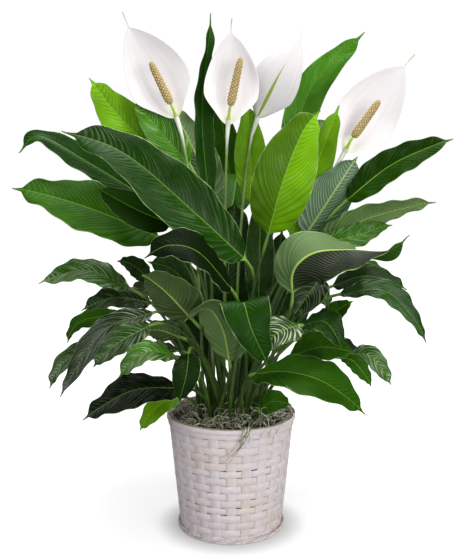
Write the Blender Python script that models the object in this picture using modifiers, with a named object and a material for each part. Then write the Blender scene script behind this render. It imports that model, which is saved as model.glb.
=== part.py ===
"""A peace lily in a whitewashed woven basket, in metres, +Z up.

The origin is on the floor under the middle of the basket.  The basket holds a
thin nursery pot filled with soil, and each stem stands in a plain hole in it.
The leaves and blooms are listed from front to back.  Each is drawn from a few
hand-chosen points in millimetres, then bent clear of those already in place.
"""
import math
from collections import namedtuple

import bmesh
import bpy
import numpy as np
from mathutils import Matrix

MM = 0.001
GAP = 0.3 * MM

BASKET_HEIGHT = 163 * MM
BASKET_TOP_RADIUS = 90 * MM
BASKET_FOOT_RADIUS = 71 * MM
WALL = 2.4 * MM
STAKES = 24
WEAVE_ROWS = 13
WEAVE_RELIEF = 0.8 * MM
RIM_HEIGHT = 14 * MM
RIM_THICKNESS = 2.2 * MM
FOOT_HEIGHT = 8 * MM
BASE_THICKNESS = 4 * MM

POT_TOP = 152 * MM
POT_BOTTOM = 12 * MM
POT_TOP_RADIUS = 82 * MM
POT_BOTTOM_RADIUS = 64 * MM
POT_WALL = 1.2 * MM
POT_SIDES = 28
HOLE_SIDES = 6

SOIL_TOP = 150 * MM
STEM_DEPTH = 22 * MM
HOLE_DEPTH = 23 * MM
HOLE_CLEARANCE = 0.45 * MM
CLUMP_RADIUS = 50 * MM
ROOT_ROW = 11 * MM
ROOT_PITCH = 17 * MM
FIRST_ROOT_ROW = -4

MOSS_INNER = 58 * MM
MOSS_OUTER = 83 * MM
MOSS_HEIGHT = 9 * MM
MOSS_STEPS = 36

PETIOLE_RADIUS = 2.4 * MM
PETIOLE_NECK = 1.5 * MM
STALK_RADIUS = 2.3 * MM
SPADIX_RADIUS = 5.5 * MM
FLORET_ROWS = 10
FLORETS_ROUND = 12
FLORET_RELIEF = 0.35 * MM
BLADE_THICKNESS = 0.8 * MM
MIDRIB_DEPTH = 1.4 * MM
SHOOT_OFFSET = 3.0 * MM
SHEATH_HEIGHT = 25 * MM
NECK_REACH = 45 * MM
ROOT_HOLD = 38 * MM

EYE = np.array([0.0, -1.1, 0.5])
CELL = 3 * MM
CELLS_WIDE = 280
MIDDLE_CELL = (140, 180)
CLEARANCE = 1.6 * MM
BEND_SLOPE = 0.28

PETIOLE_STEPS = 33
BLADE_STEPS = 65
SMALL_LEAF = 50
FILAMENT_START = 0.87
DRIP_START = 0.94
DRIP_HALF_WIDTH = 0.8 * MM
COLLAR_HALF_WIDTH = 4.2 * MM
SHARES_ROUND = np.linspace(0, 1, 5, endpoint=False)
SHARES_ALONG = np.linspace(0, 1, 24, endpoint=False)
LEAF_ACROSS = (-1, 0, 1)
SPATHE_ACROSS = (-1, -0.5, 0, 0.5, 1)
SPATHE_STATIONS = np.array([0.0, 0.05, 0.12, 0.23, 0.36, 0.49, 0.62, 0.75, 0.87, 1.0])

Leaf = namedtuple("Leaf", "name spine width face twist fold wave waves finish")
Bloom = namedtuple("Bloom", "name node spadix spine width face fold")

# Spines run from the blade's base to its tip, in mm from the basket's axis.
# A face is where the upper side looks at mid blade: degrees round from the
# front, towards the right, and degrees up.  A row named "+" grows from the
# same shoot as the row above it.
FRONT = [
    Leaf("leaf_front_middle", ((12, -65, 290), (15, -100, 332), (25, -128, 303), (46, -132, 259)),
         60, (10, 40), 0, 16, 2.0, 1.6, "glossy"),
    Leaf("leaf_front_arched", ((-2, -75, 250), (-10, -95, 296), (-28, -112, 326), (-58, -125, 316)),
         62, (150, 30), 10, 14, 2.0, 1.5, "under"),
    Leaf("leaf_front_low_right", ((30, -60, 230), (70, -95, 242), (115, -125, 236), (165, -140, 202)),
         84, (12, 66), 0, 14, 2.5, 2.0, "green"),
    Leaf("leaf_right_bottom", ((38, -50, 178), (55, -60, 193), (78, -68, 192)),
         34, (0, 40), 0, 16, 1.2, 1.2, "green"),
    Leaf("leaf_front_striped", ((87, -75, 298), (57, -105, 294), (37, -115, 271)),
         44, (-15, 35), 0, 16, 1.5, 1.5, "dark"),
    Leaf("leaf_front_right", ((89, -60, 294), (119, -85, 304), (140, -100, 274)),
         42, (10, 45), 0, 18, 1.5, 1.5, "glossy"),
    Leaf("+", ((118, -60, 302), (135, -70, 316), (153, -80, 330)),
         26, (10, 30), 0, 14, 1.0, 1.0, "green"),
    Leaf("leaf_front_hanging", ((-54, -80, 263), (-56, -105, 240), (-65, -112, 208)),
         36, (-10, 15), 0, 24, 1.0, 1.2, "dark"),
    Leaf("leaf_left_pale", ((-72, -60, 254), (-110, -80, 264), (-144, -90, 235)),
         38, (-15, 50), 0, 16, 1.2, 1.2, "green"),
    Leaf("leaf_left_low", ((-65, -55, 210), (-126, -90, 216), (-188, -105, 184)),
         64, (-5, 62), 0, 12, 2.5, 2.0, "dark"),
    Leaf("leaf_left_bottom", ((-69, -35, 191), (-95, -45, 184), (-123, -50, 151)),
         32, (-10, 45), 0, 14, 1.0, 1.0, "light"),
    Leaf("leaf_right_broad",
         ((79, -65, 337), (77, -80, 362), (85, -92, 381), (107, -100, 395), (146, -106, 398), (190, -110, 397),
          (218, -112, 415)), 84, (180, 30), -170, 26, 3.0, 3.0, "under"),
    Leaf("leaf_middle_under", ((-50, -65, 304), (-81, -80, 341), (-111, -78, 365)),
         74, (170, 40), 0, 12, 2.5, 1.5, "under"),
    Leaf("leaf_middle_arched", ((1, -50, 340), (-39, -90, 392), (-74, -110, 404), (-105, -120, 391)),
         64, (0, 50), 0, 14, 2.0, 2.0, "dark"),
    Leaf("leaf_left_middle", ((-105, -60, 295), (-144, -80, 276), (-177, -85, 247)),
         40, (-10, 45), 0, 16, 1.5, 1.5, "green"),
    Leaf("leaf_left_long", ((-100, -40, 309), (-165, -65, 288), (-223, -75, 204)),
         36, (-20, 35), 0, 20, 1.5, 2.0, "dark"),
    Leaf("leaf_upper_left", ((21, -50, 377), (-44, -75, 440), (-129, -95, 514), (-204, -100, 543)),
         88, (15, 40), 0, 14, 3.0, 2.2, "glossy"),
    Leaf("leaf_left_folded", ((-75, -50, 425), (-120, -70, 446), (-167, -80, 473)),
         46, (-20, 10), 0, 34, 1.5, 1.2, "dark"),
    Leaf("leaf_right_hanging", ((119, -45, 358), (98, -70, 336), (77, -85, 309)),
         42, (0, 25), 0, 20, 1.5, 1.2, "dark"),
    Leaf("leaf_right_lower", ((76, -35, 246), (116, -60, 266), (159, -70, 262)),
         56, (5, 50), 0, 14, 2.0, 1.5, "green"),
    Leaf("+", ((146, -35, 246), (163, -45, 243), (186, -55, 213)),
         26, (10, 45), 0, 16, 1.0, 1.0, "green"),
    Leaf("leaf_right_arch", ((143, -20, 329), (198, -40, 338), (231, -50, 310), (256, -60, 273)),
         40, (20, 50), 0, 20, 1.5, 2.0, "glossy"),
    Leaf("leaf_left_olive", ((-68, -50, 278), (-92, -65, 290), (-118, -70, 290)),
         40, (180, 30), 0, 12, 1.2, 1.2, "under"),
    Leaf("+", ((-62, -45, 256), (-95, -60, 268), (-128, -65, 269)),
         30, (0, 80), 0, 14, 1.0, 1.0, "dark"),
    Leaf("leaf_left_upper_small", ((-134, -20, 337), (-190, -40, 364), (-252, -45, 350)),
         52, (-5, 58), 0, 14, 2.2, 2.3, "green"),
    Leaf("leaf_left_wide", ((-94, -25, 406), (-158, -50, 437), (-214, -65, 458), (-273, -75, 474)),
         86, (-5, 45), 0, 14, 3.5, 2.6, "green"),
    Leaf("+", ((-110, 5, 455), (-190, -8, 505), (-249, -20, 538), (-276, -30, 518)),
         44, (-10, 35), 20, 16, 2.0, 2.0, "glossy"),
    Leaf("leaf_upright_light", ((49, -25, 409), (68, -45, 484), (93, -40, 545), (115, -35, 571)),
         80, (-5, 5), 0, 16, 2.5, 2.2, "light"),
    Leaf("leaf_right_tier", ((120, -35, 400), (163, -50, 411), (205, -60, 427)),
         40, (5, 45), 0, 14, 2.0, 1.8, "green"),
    Leaf("+", ((119, -20, 408), (186, -45, 436), (261, -55, 456)),
         46, (180, 45), 0, 14, 1.8, 2.0, "under"),
    Leaf("leaf_right_grey", ((134, -25, 341), (179, -40, 357), (230, -50, 342)),
         44, (0, 55), 0, 16, 1.5, 1.8, "dark"),
    Leaf("+", ((155, 5, 370), (189, 0, 367), (220, -5, 347)),
         26, (0, 75), 0, 14, 1.0, 1.0, "green"),
    Leaf("leaf_right_low_pale", ((163, -10, 246), (189, -25, 246), (217, -30, 208)),
         30, (5, 40), 0, 16, 1.2, 1.2, "under"),
    Leaf("leaf_right_dark", ((152, -5, 452), (212, -20, 502), (287, -30, 536)),
         50, (0, 40), 0, 16, 2.2, 2.0, "dark"),
    Leaf("leaf_right_under", ((100, 14, 403), (137, 12, 461), (169, 4, 513)),
         62, (180, 10), 0, 12, 2.0, 1.5, "under"),
    Leaf("+", ((38, 24, 300), (40, 28, 380), (40, 30, 470)),
         40, (0, 10), 0, 14, 1.5, 1.5, "dark"),
    Leaf("leaf_upright_right", ((80, 0, 403), (112, 0, 494), (144, 5, 580)),
         46, (0, 15), 0, 16, 2.0, 2.0, "light"),
    Leaf("leaf_left_inner", ((-107, -10, 316), (-155, -25, 326), (-200, -30, 311)),
         42, (0, 50), 0, 16, 1.5, 1.5, "green"),
    Leaf("+", ((-109, -10, 347), (-131, -20, 369), (-150, -25, 376)),
         30, (0, 40), 0, 16, 1.0, 1.0, "dark"),
    Leaf("leaf_left_outer", ((-150, 0, 262), (-222, -15, 240), (-249, -20, 200)),
         34, (-5, 40), 0, 16, 1.2, 1.5, "dark"),
    Leaf("+", ((-150, 0, 300), (-205, -10, 290), (-224, -15, 263)),
         30, (0, 50), 0, 14, 1.0, 1.0, "green"),
]
BLOOMS = [
    Bloom("left", (-72, 0, 563), ((-79, -7, 580), (-105, -9, 634)),
          ((-72, 2.5, 563), (-98, 12, 618), (-130, 2, 672), (-141, -4, 698)), 84, (-8, 5), 12),
    Bloom("right", (151, 0, 518), ((161, -7, 537), (195, -9, 585)),
          ((151, 2.5, 518), (183, 12, 570), (224, 2, 625), (241, -4, 645)), 84, (10, 8), 12),
    Bloom("middle", (-4, 8, 554), ((-1, 1, 578), (13, -1, 641)),
          ((-4, 10.5, 554), (1, 20, 612), (0, 10, 672), (1, 4, 692)), 74, (0, 5), 12),
    Bloom("turned", (36, 30, 565), ((40, 37, 584), (58, 39, 636)),
          ((36, 27.5, 565), (64, 18, 620), (91, 26, 666), (95, 32, 684)), 66, (172, 5), 12),
]
BACK = [
    Leaf("leaf_crown_left", ((-55, 10, 501), (-95, 5, 547), (-128, 0, 589)),
         46, (0, 20), 0, 18, 1.5, 1.5, "dark"),
    Leaf("+", ((-76, 25, 500), (-146, 25, 560), (-190, 20, 617)),
         62, (5, 15), 0, 14, 2.5, 2.0, "light"),
    Leaf("+", ((-30, 35, 446), (-40, 40, 560), (-34, 38, 640), (-25, 35, 703)),
         36, (25, 10), 30, 26, 2.0, 2.5, "dark"),
    Leaf("+", ((-43, 28, 314), (-81, 30, 356), (-115, 25, 368)),
         46, (0, 15), 0, 14, 1.5, 1.5, "dark"),
    Leaf("leaf_crown_middle", ((30, 15, 447), (26, 20, 521), (23, 20, 585)),
         46, (0, 10), 0, 18, 1.5, 1.8, "light"),
    Leaf("+", ((-8, 34, 278), (-4, 40, 350), (6, 44, 455)),
         84, (-5, 10), 0, 16, 2.0, 2.0, "dark"),
    Leaf("+", ((46, 36, 275), (60, 36, 341), (72, 36, 414)),
         44, (5, 10), 0, 14, 1.2, 1.5, "dark"),
    Leaf("leaf_crown_right", ((78, 50, 490), (110, 55, 604), (183, 50, 681)),
         48, (-5, 10), 15, 18, 4.0, 2.8, "green"),
    Leaf("leaf_back_right", ((70, 50, 440), (110, 100, 530), (150, 130, 570)),
         60, (170, 20), 0, 16, 2.5, 2.0, "light"),
    Leaf("+", ((60, 70, 420), (130, 130, 470), (190, 170, 450)),
         70, (150, 60), 0, 14, 2.5, 2.0, "green"),
    Leaf("leaf_back_left", ((-60, 80, 400), (-130, 140, 450), (-190, 185, 430)),
         72, (-150, 60), 0, 14, 2.5, 2.0, "glossy"),
    Leaf("+", ((-20, 60, 450), (-60, 100, 535), (-90, 130, 590)),
         60, (-170, 20), 0, 16, 2.5, 2.0, "green"),
    Leaf("leaf_back_low_right", ((48, 60, 235), (80, 64, 282), (116, 60, 330)),
         58, (5, 15), 0, 14, 1.5, 1.5, "dark"),
    Leaf("+", ((40, 70, 300), (110, 150, 325), (160, 210, 270)),
         76, (145, 60), 0, 14, 2.5, 2.0, "green"),
    Leaf("+", ((85, 50, 250), (150, 95, 250), (205, 130, 200)),
         56, (115, 60), 0, 14, 2.0, 1.8, "dark"),
    Leaf("+", ((20, 52, 184), (20, 56, 228), (22, 58, 285)),
         50, (0, 10), 0, 14, 1.2, 1.5, "dark"),
    Leaf("leaf_back_low_left", ((-30, 60, 212), (-60, 64, 262), (-84, 62, 316)),
         56, (0, 10), 0, 14, 1.5, 1.5, "dark"),
    Leaf("+", ((-40, 70, 300), (-110, 150, 325), (-165, 205, 270)),
         76, (-145, 60), 0, 14, 2.5, 2.0, "green"),
    Leaf("+", ((-90, 50, 255), (-165, 90, 267), (-225, 120, 215)),
         56, (-115, 60), 0, 14, 2.0, 1.8, "glossy"),
    Leaf("leaf_back_middle", ((0, 70, 430), (10, 150, 485), (15, 220, 450)),
         76, (175, 60), 0, 14, 2.5, 2.0, "green"),
    Leaf("+", ((0, 52, 470), (-8, 56, 535), (-18, 56, 590)),
         44, (0, 10), 0, 16, 1.5, 1.5, "green"),
    Leaf("leaf_back_low", ((0, 75, 260), (0, 160, 275), (-10, 225, 210)),
         78, (180, 60), 0, 14, 2.5, 2.0, "dark"),
]

COLOURS = {
    "green": ((0.035, 0.165, 0.018), 0.32),
    "glossy": ((0.022, 0.120, 0.016), 0.24),
    "dark": ((0.014, 0.075, 0.014), 0.30),
    "light": ((0.125, 0.390, 0.030), 0.36),
    "under": ((0.105, 0.190, 0.070), 0.50),
    "stalk": ((0.120, 0.330, 0.040), 0.40),
    "spathe": ((0.900, 0.900, 0.860), 0.45),
    "spadix": ((0.640, 0.500, 0.260), 0.70),
    "splint": ((0.640, 0.580, 0.540), 0.75),
    "band": ((0.700, 0.650, 0.610), 0.70),
    "board": ((0.420, 0.330, 0.250), 0.80),
    "pot": ((0.020, 0.020, 0.020), 0.45),
    "soil": ((0.040, 0.028, 0.020), 0.95),
    "moss": ((0.230, 0.220, 0.150), 0.95),
}


def clear_scene():
    for thing in list(bpy.data.objects):
        bpy.data.objects.remove(thing, do_unlink=True)


def make_collection(name):
    group = bpy.data.collections.new(name)
    bpy.context.scene.collection.children.link(group)
    return group


def make_material(name):
    colour, roughness = COLOURS[name]
    material = bpy.data.materials.new(name)
    material.use_nodes = True
    shader = material.node_tree.nodes["Principled BSDF"]
    shader.inputs["Base Color"].default_value = (*colour, 1.0)
    shader.inputs["Roughness"].default_value = roughness
    shader.inputs["Metallic"].default_value = 0.0
    material.diffuse_color = (*colour, 1.0)
    return material


def add_object(name, mesh, group, material):
    thing = bpy.data.objects.new(name, mesh)
    group.objects.link(thing)
    if material is not None:
        mesh.materials.append(material)
    return thing


# Curves and blades

def unit(vectors):
    return vectors / np.linalg.norm(vectors, axis=-1, keepdims=True)


def smooth_step(value):
    value = np.clip(value, 0.0, 1.0)
    return value * value * (3 - 2 * value)


def through(points, count):
    """Even steps along a smooth curve through the points."""
    points = np.array(points, float)
    ends = np.vstack([2 * points[0] - points[1], points, 2 * points[-1] - points[-2]])
    fine = []
    for a, b, c, d in zip(ends, ends[1:], ends[2:], ends[3:]):
        for f in np.linspace(0, 1, 24, endpoint=False):
            fine.append(0.5 * (2 * b + (c - a) * f + (2 * a - 5 * b + 4 * c - d) * f * f
                               + (3 * b - a - 3 * c + d) * f ** 3))
    fine.append(points[-1])
    return even_steps(np.array(fine), count)


def even_steps(fine, count):
    length = np.concatenate([[0], np.cumsum(np.linalg.norm(np.diff(fine, axis=0), axis=1))])
    wanted = np.linspace(0, length[-1], count)
    return np.stack([np.interp(wanted, length, fine[:, k]) for k in range(3)], axis=1)


def rise(root, base, heading, count):
    """A stem that leaves the soil upright and meets the blade along its heading."""
    reach = np.linalg.norm(base - root)
    a = root + np.array([0, 0, 0.42 * reach])
    b = base - heading * min(0.32 * reach, NECK_REACH)
    f = np.linspace(0, 1, 80)[:, None]
    fine = (1 - f) ** 3 * root + 3 * (1 - f) ** 2 * f * a + 3 * (1 - f) * f * f * b + f ** 3 * base
    return even_steps(fine, count)


def slide(points, depth):
    """Move points along Y by a depth, and along their line of sight from EYE."""
    away = points - EYE
    return EYE + away * (1 + depth / away[..., 1])[..., None]


def facing(face):
    around, up = math.radians(face[0]), math.radians(face[1])
    return np.array([math.sin(around) * math.cos(up), -math.cos(around) * math.cos(up), math.sin(up)])


class Stem:
    """The middle line of a leaf or bloom, with its frame, from soil to tip."""

    def __init__(self, row, root, second):
        self.row = row
        self.second = second
        spine = np.array(row.spine, float) * MM
        blade = through(spine, BLADE_STEPS)
        heading = unit(blade[2] - blade[0])
        stem = rise(root, blade[0], heading, PETIOLE_STEPS)
        if isinstance(row, Bloom):
            self.stalk = rise(root, np.array(row.node, float) * MM, heading, PETIOLE_STEPS)
        self.at = np.concatenate([np.linspace(-1, 0, PETIOLE_STEPS), np.linspace(0, 1, BLADE_STEPS)[1:]])
        self.line = np.vstack([stem, blade[1:]])
        self.length = np.concatenate([[0], np.cumsum(np.linalg.norm(np.diff(self.line, axis=0), axis=1))])
        self.along = unit(np.gradient(self.line, axis=0))
        self.along[0] = (0, 0, 1)
        self.normal = self.carry_normal(facing(row.face), math.radians(getattr(row, "twist", 0)))
        self.shift = np.zeros(len(self.at))

    def carry_normal(self, face, twist):
        """The upper side's direction, carried each way from mid blade without turning."""
        count = len(self.at)
        middle = PETIOLE_STEPS + BLADE_STEPS // 2
        normal = np.zeros((count, 3))
        start = face - self.along[middle] * np.dot(face, self.along[middle])
        normal[middle] = unit(start)
        for order in (range(middle + 1, count), range(middle - 1, -1, -1)):
            last = normal[middle]
            for k in order:
                last = unit(last - self.along[k] * np.dot(last, self.along[k]))
                normal[k] = last
        turn = twist * np.clip(self.at, 0, 1)[:, None]
        side = np.cross(self.along, normal)
        return normal * np.cos(turn) + side * np.sin(turn)

    def frame(self, stations):
        def read(values):
            return np.stack([np.interp(stations, self.at, values[:, k]) for k in range(3)], axis=1)
        place = slide(read(self.line), np.interp(stations, self.at, self.shift))
        along = unit(read(self.along))
        normal = read(self.normal)
        normal = unit(normal - along * np.sum(along * normal, axis=1, keepdims=True))
        return place, np.cross(along, normal), normal


def leaf_half_width(row, t):
    """Widest before the middle, with a blunt shoulder and a thin drip tip."""
    body = np.clip(t / DRIP_START, 0, 1)
    shape = body ** 0.6 * (1 - body) ** 0.75 / (0.4444 ** 0.6 * 0.5556 ** 0.75)
    return np.maximum(0.5 * row.width * MM * shape, DRIP_HALF_WIDTH)


def spathe_half_width(row, t):
    body = np.clip(t / FILAMENT_START, 0, 1)
    shape = body ** 0.5 * (1 - body) ** 0.8 / (0.3846 ** 0.5 * 0.6154 ** 0.8)
    least = np.where(t < 0.1, COLLAR_HALF_WIDTH, 0.9 * MM)
    return np.maximum(0.5 * row.width * MM * shape, least)


def leaf_height(row, half, t, across):
    """How far the blade stands off the flat: fold, rolled margins and waves."""
    fold = math.sin(math.radians(row.fold)) * np.abs(across) * half
    roll = -0.16 * across ** 2 * half
    phase = np.where(across < 0, 1.9, 0.0) + len(row.name) + row.width
    ripple = np.sin(2 * math.pi * row.waves * t + phase) * np.sin(math.pi * np.clip(t, 0, 1))
    return fold + roll + row.wave * MM * ripple * np.abs(across) ** 1.5


def spathe_height(row, half, t, across):
    cup = math.sin(math.radians(row.fold)) * across ** 2 * half
    collar = 3.2 * MM * across ** 2 * (1 - smooth_step(t / 0.12))
    ripple = 1.2 * MM * np.sin(9 * t + 2 * across) * across ** 2 * np.sin(math.pi * np.clip(t, 0, 1))
    return cup + collar + ripple


def blade_grid(stem, stations, across, half_width, height):
    """Points of the blade's middle surface, one row for each station."""
    place, side, normal = stem.frame(stations)
    half = half_width(stem.row, stations)
    points = []
    for u in across:
        spread = half * u * math.cos(math.radians(stem.row.fold) * 0.6)
        lift = height(stem.row, half, stations, np.full(len(stations), u))
        points.append(place + side * spread[:, None] + normal * lift[:, None])
    return np.stack(points, axis=1), normal, place, side


def leaf_rings(stem, stations, across):
    """Closed rings: round on the stem, then a blade with a keeled midrib."""
    middle, normal, place, side = blade_grid(stem, stations, across, leaf_half_width, leaf_height)
    t = np.clip(stations, 0, 1)
    keel = MIDRIB_DEPTH * (1 - t)
    radius = PETIOLE_NECK + (PETIOLE_RADIUS - PETIOLE_NECK) * np.clip(-stations, 0, 1)
    blend = smooth_step(stations / 0.07)[:, None]
    rings = []
    for sign, order in ((1, range(len(across))), (-1, range(len(across) - 1, -1, -1))):
        for k in order:
            u = across[k]
            angle = sign * math.radians(90 - 60 * u)
            round_point = place + radius[:, None] * (math.cos(angle) * side + math.sin(angle) * normal)
            thick = np.full(len(stations), 0.5 * BLADE_THICKNESS)
            if sign < 0 and u == 0:
                thick = thick + keel
            flat_point = middle[:, k] + sign * normal * thick[:, None]
            rings.append(round_point * (1 - blend) + flat_point * blend)
    return np.stack(rings, axis=1)


def spathe_rings(stem, stations, across):
    middle, normal, _, _ = blade_grid(stem, stations, across, spathe_half_width, spathe_height)
    top = middle + 0.5 * BLADE_THICKNESS * normal[:, None, :]
    bottom = middle - 0.5 * BLADE_THICKNESS * normal[:, None, :]
    return np.concatenate([top, bottom[:, ::-1]], axis=1)


def loft(name, rings, flat=False):
    """Skin the rings.  A blade is split the same way on its two faces."""
    mesh = bpy.data.meshes.new(name)
    work = bmesh.new()
    rows = [[work.verts.new(point) for point in ring] for ring in rings]
    count = len(rows[0])
    half = count // 2
    for low, high in zip(rows, rows[1:]):
        for k in range(count):
            n = (k + 1) % count
            if flat and k >= half:
                work.faces.new((low[k], low[n], high[k]))
                work.faces.new((low[n], high[n], high[k]))
            else:
                work.faces.new((low[k], low[n], high[n]))
                work.faces.new((low[k], high[n], high[k]))
    work.faces.new(rows[0][::-1])
    work.faces.new(rows[-1])
    bmesh.ops.recalc_face_normals(work, faces=work.faces)
    work.to_mesh(mesh)
    work.free()
    mesh.shade_smooth()
    mesh.set_sharp_from_angle(angle=math.radians(50))
    return mesh


# Bending clear

class Layers:
    """The foremost and rearmost surface met in each cell of the view from EYE."""

    def __init__(self):
        self.front = np.full((CELLS_WIDE, CELLS_WIDE), np.inf)
        self.back = np.full((CELLS_WIDE, CELLS_WIDE), -np.inf)

    def cells(self, points):
        away = points - EYE
        spread = away / away[:, 1:2] * -EYE[1] / CELL
        column = np.clip((spread[:, 0] + MIDDLE_CELL[0]).astype(int), 1, CELLS_WIDE - 2)
        line = np.clip((spread[:, 2] + MIDDLE_CELL[1]).astype(int), 1, CELLS_WIDE - 2)
        return column, line

    def add(self, points):
        cells = self.cells(points)
        np.minimum.at(self.front, cells, points[:, 1])
        np.maximum.at(self.back, cells, points[:, 1])

    def needed(self, points, forward):
        """The shift along Y that brings each point clear, forward or back."""
        column, line = self.cells(points)
        worst = np.zeros(len(points))
        for i in (-1, 0, 1):
            for j in (-1, 0, 1):
                if forward:
                    limit = self.front[column + i, line + j] - CLEARANCE
                    worst = np.minimum(worst, limit - points[:, 1])
                else:
                    limit = self.back[column + i, line + j] + CLEARANCE
                    worst = np.maximum(worst, limit - points[:, 1])
        return worst


def spread_over(rings, stations):
    """Points all over the flat pieces between rings, with the station of each."""
    ahead = np.roll(rings, -1, axis=1)
    rings = np.concatenate([rings + (ahead - rings) * f for f in SHARES_ROUND], axis=1)
    points = [rings[:-1] + (rings[1:] - rings[:-1]) * f for f in SHARES_ALONG]
    places = [stations[:-1] + (stations[1:] - stations[:-1]) * f for f in SHARES_ALONG]
    places = [np.repeat(place, rings.shape[1]) for place in places]
    return np.concatenate(points).reshape(-1, 3), np.concatenate(places)


def sample_stem(stem, is_bloom):
    """Points all over a leaf or bloom, as a smooth form and as built, with their stations."""
    if is_bloom:
        width, height = spathe_half_width, spathe_height
        stations = SPATHE_STATIONS
        rings = spathe_rings(stem, stations, SPATHE_ACROSS)
    else:
        width, height = leaf_half_width, leaf_height
        stations = stations_for(stem.row)
        rings = leaf_rings(stem, stations, LEAF_ACROSS)
    built, built_stations = spread_over(rings, stations)
    across = np.linspace(-1, 1, 15)
    upper = np.linspace(0.03, 1, 70)
    blade = blade_grid(stem, upper, across, width, height)[0]
    lower = np.linspace(-1, 0.03, 70)
    place, side, _ = stem.frame(lower)
    deep = np.array([0, PETIOLE_RADIUS, 0])
    across_rod = side * PETIOLE_RADIUS
    rod = np.stack([place - across_rod, place - deep, place + deep, place + across_rod], axis=1)
    points = np.concatenate([blade.reshape(-1, 3), rod.reshape(-1, 3), built])
    stations = np.concatenate([np.repeat(upper, 15), np.repeat(lower, 4), built_stations])
    if is_bloom:
        spadix = np.array(stem.row.spadix, float) * MM
        run = np.linspace(0, 1, 16)[:, None]
        core = spadix[0] * (1 - run) + spadix[1] * run
        edge = np.array([SPADIX_RADIUS, 0, 0])
        rod = [stem.stalk + edge / 2, stem.stalk - edge / 2]
        points = np.concatenate([points, core + edge, core - edge] + rod)
        stations = np.concatenate([stations, np.full(32, 0.5)] + 2 * [stem.at[:PETIOLE_STEPS]])
    return points, stations


def bend_clear(stem, layers, forward):
    """Shift the stem along Y, by no more than it needs, in one gentle bend."""
    is_bloom = isinstance(stem.row, Bloom)
    points, stations = sample_stem(stem, is_bloom)
    free = (points[:, 2] > SOIL_TOP + SHEATH_HEIGHT) | (np.hypot(points[:, 0], points[:, 1]) > MOSS_INNER)
    need = layers.needed(points[free], forward)
    span = np.interp(stations[free], stem.at, stem.length)
    if is_bloom:
        span = np.minimum(span, stem.length[PETIOLE_STEPS - 1])
    reach = np.minimum(stem.length, stem.length[PETIOLE_STEPS - 1]) if is_bloom else stem.length
    fall = BEND_SLOPE * np.abs(reach[:, None] - span[None, :])
    if forward:
        stem.shift = np.minimum(0, (need[None, :] + fall).min(axis=1))
    else:
        stem.shift = np.maximum(0, (need[None, :] - fall).max(axis=1))
    stem.shift *= smooth_step(stem.length / ROOT_HOLD)
    layers.add(slide(points, np.interp(stations, stem.at, stem.shift)))


def lean(row):
    """How far a stem slants to the right, from crown to blade."""
    x, _, z = row.spine[0]
    return x / (z - SOIL_TOP / MM)


def root_places(rows):
    """Crowns in rows across the pot, given out from front to back, left to right."""
    shoots = [row for row in rows if row.name != "+"]
    places = {}
    line = FIRST_ROOT_ROW
    while shoots:
        y = ROOT_ROW * line
        width = 2 * math.sqrt(CLUMP_RADIUS ** 2 - y ** 2)
        count = int(width / ROOT_PITCH) + 1
        owners = sorted(shoots[:count], key=lean)
        for k, row in enumerate(owners):
            x = width * ((k + 0.5) / len(owners) - 0.5) + (2 if line % 2 else -2) * MM
            places[row.name] = np.array([x, y, SOIL_TOP])
        shoots = shoots[count:]
        line += 1
    return places


def lay_out():
    """Every stem in its place, in order from front to back."""
    rows = FRONT + BLOOMS + BACK
    places = root_places(rows)
    stems = []
    for row in rows:
        second = row.name == "+"
        if not second:
            root = places[row.name]
            number = 0
        else:
            number += 1 if row.spine[1][0] > 0 else -1
        start = root + np.array([number * SHOOT_OFFSET, 0, 0])
        stems.append(Stem(row, start, second))
    layers = Layers()
    anchor = len(FRONT) + len(BLOOMS) // 2
    for stem in stems[anchor::-1]:
        bend_clear(stem, layers, True)
    for stem in stems[anchor + 1:]:
        bend_clear(stem, layers, False)
    return stems


# Plant parts

def stations_for(row):
    if row.width < SMALL_LEAF:
        return np.array([-1.0, -0.6, -0.2, 0.0, 0.06, 0.2, 0.4, 0.6, 0.8, 0.93, 1.0])
    return np.array([-1.0, -0.62, -0.22, 0.0, 0.035, 0.09, 0.2, 0.33, 0.46, 0.59, 0.72, 0.84, 0.93, 1.0])


def buried(rings):
    """Add the straight end that stands in the soil."""
    foot = rings[0].copy()
    foot[:, 2] = SOIL_TOP - STEM_DEPTH
    return np.concatenate([foot[None], rings])


def leaf_mesh(name, stem):
    return loft(name, buried(leaf_rings(stem, stations_for(stem.row), LEAF_ACROSS)), flat=True)


def tube_rings(line, radii, sides):
    """Round rings along a line, kept square to it."""
    along = unit(np.gradient(line, axis=0))
    along[0] = (0, 0, 1)
    normal = np.array([0.0, -1.0, 0.0])
    rings = []
    for point, ahead, radius in zip(line, along, radii):
        normal = unit(normal - ahead * np.dot(normal, ahead))
        side = np.cross(ahead, normal)
        turn = np.linspace(0, 2 * math.pi, sides, endpoint=False)
        ring = [point + radius * (math.cos(a) * normal + math.sin(a) * side) for a in turn]
        rings.append(ring)
    return np.array(rings)


def bloom_line(stem):
    """The stalk's middle line, from soil to the foot of the spadix."""
    node = stem.shift[PETIOLE_STEPS]
    stalk = slide(stem.stalk, stem.shift[:PETIOLE_STEPS])
    spadix = slide(np.array(stem.row.spadix, float) * MM, np.array([node, node]))
    return stalk, spadix


def stalk_mesh(name, stem):
    stalk, spadix = bloom_line(stem)
    top = stalk[-1]
    reach = unit(spadix[1] - spadix[0])
    end = spadix[0] - reach * 1.5 * GAP
    line = np.vstack([stalk[[0, 5, 10, 15, 20, 25, 29]], top, end - reach * 5 * MM, end])
    radii = np.linspace(STALK_RADIUS, 1.6 * MM, len(line))
    return loft(name, buried(tube_rings(line, radii, 6)))


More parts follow.
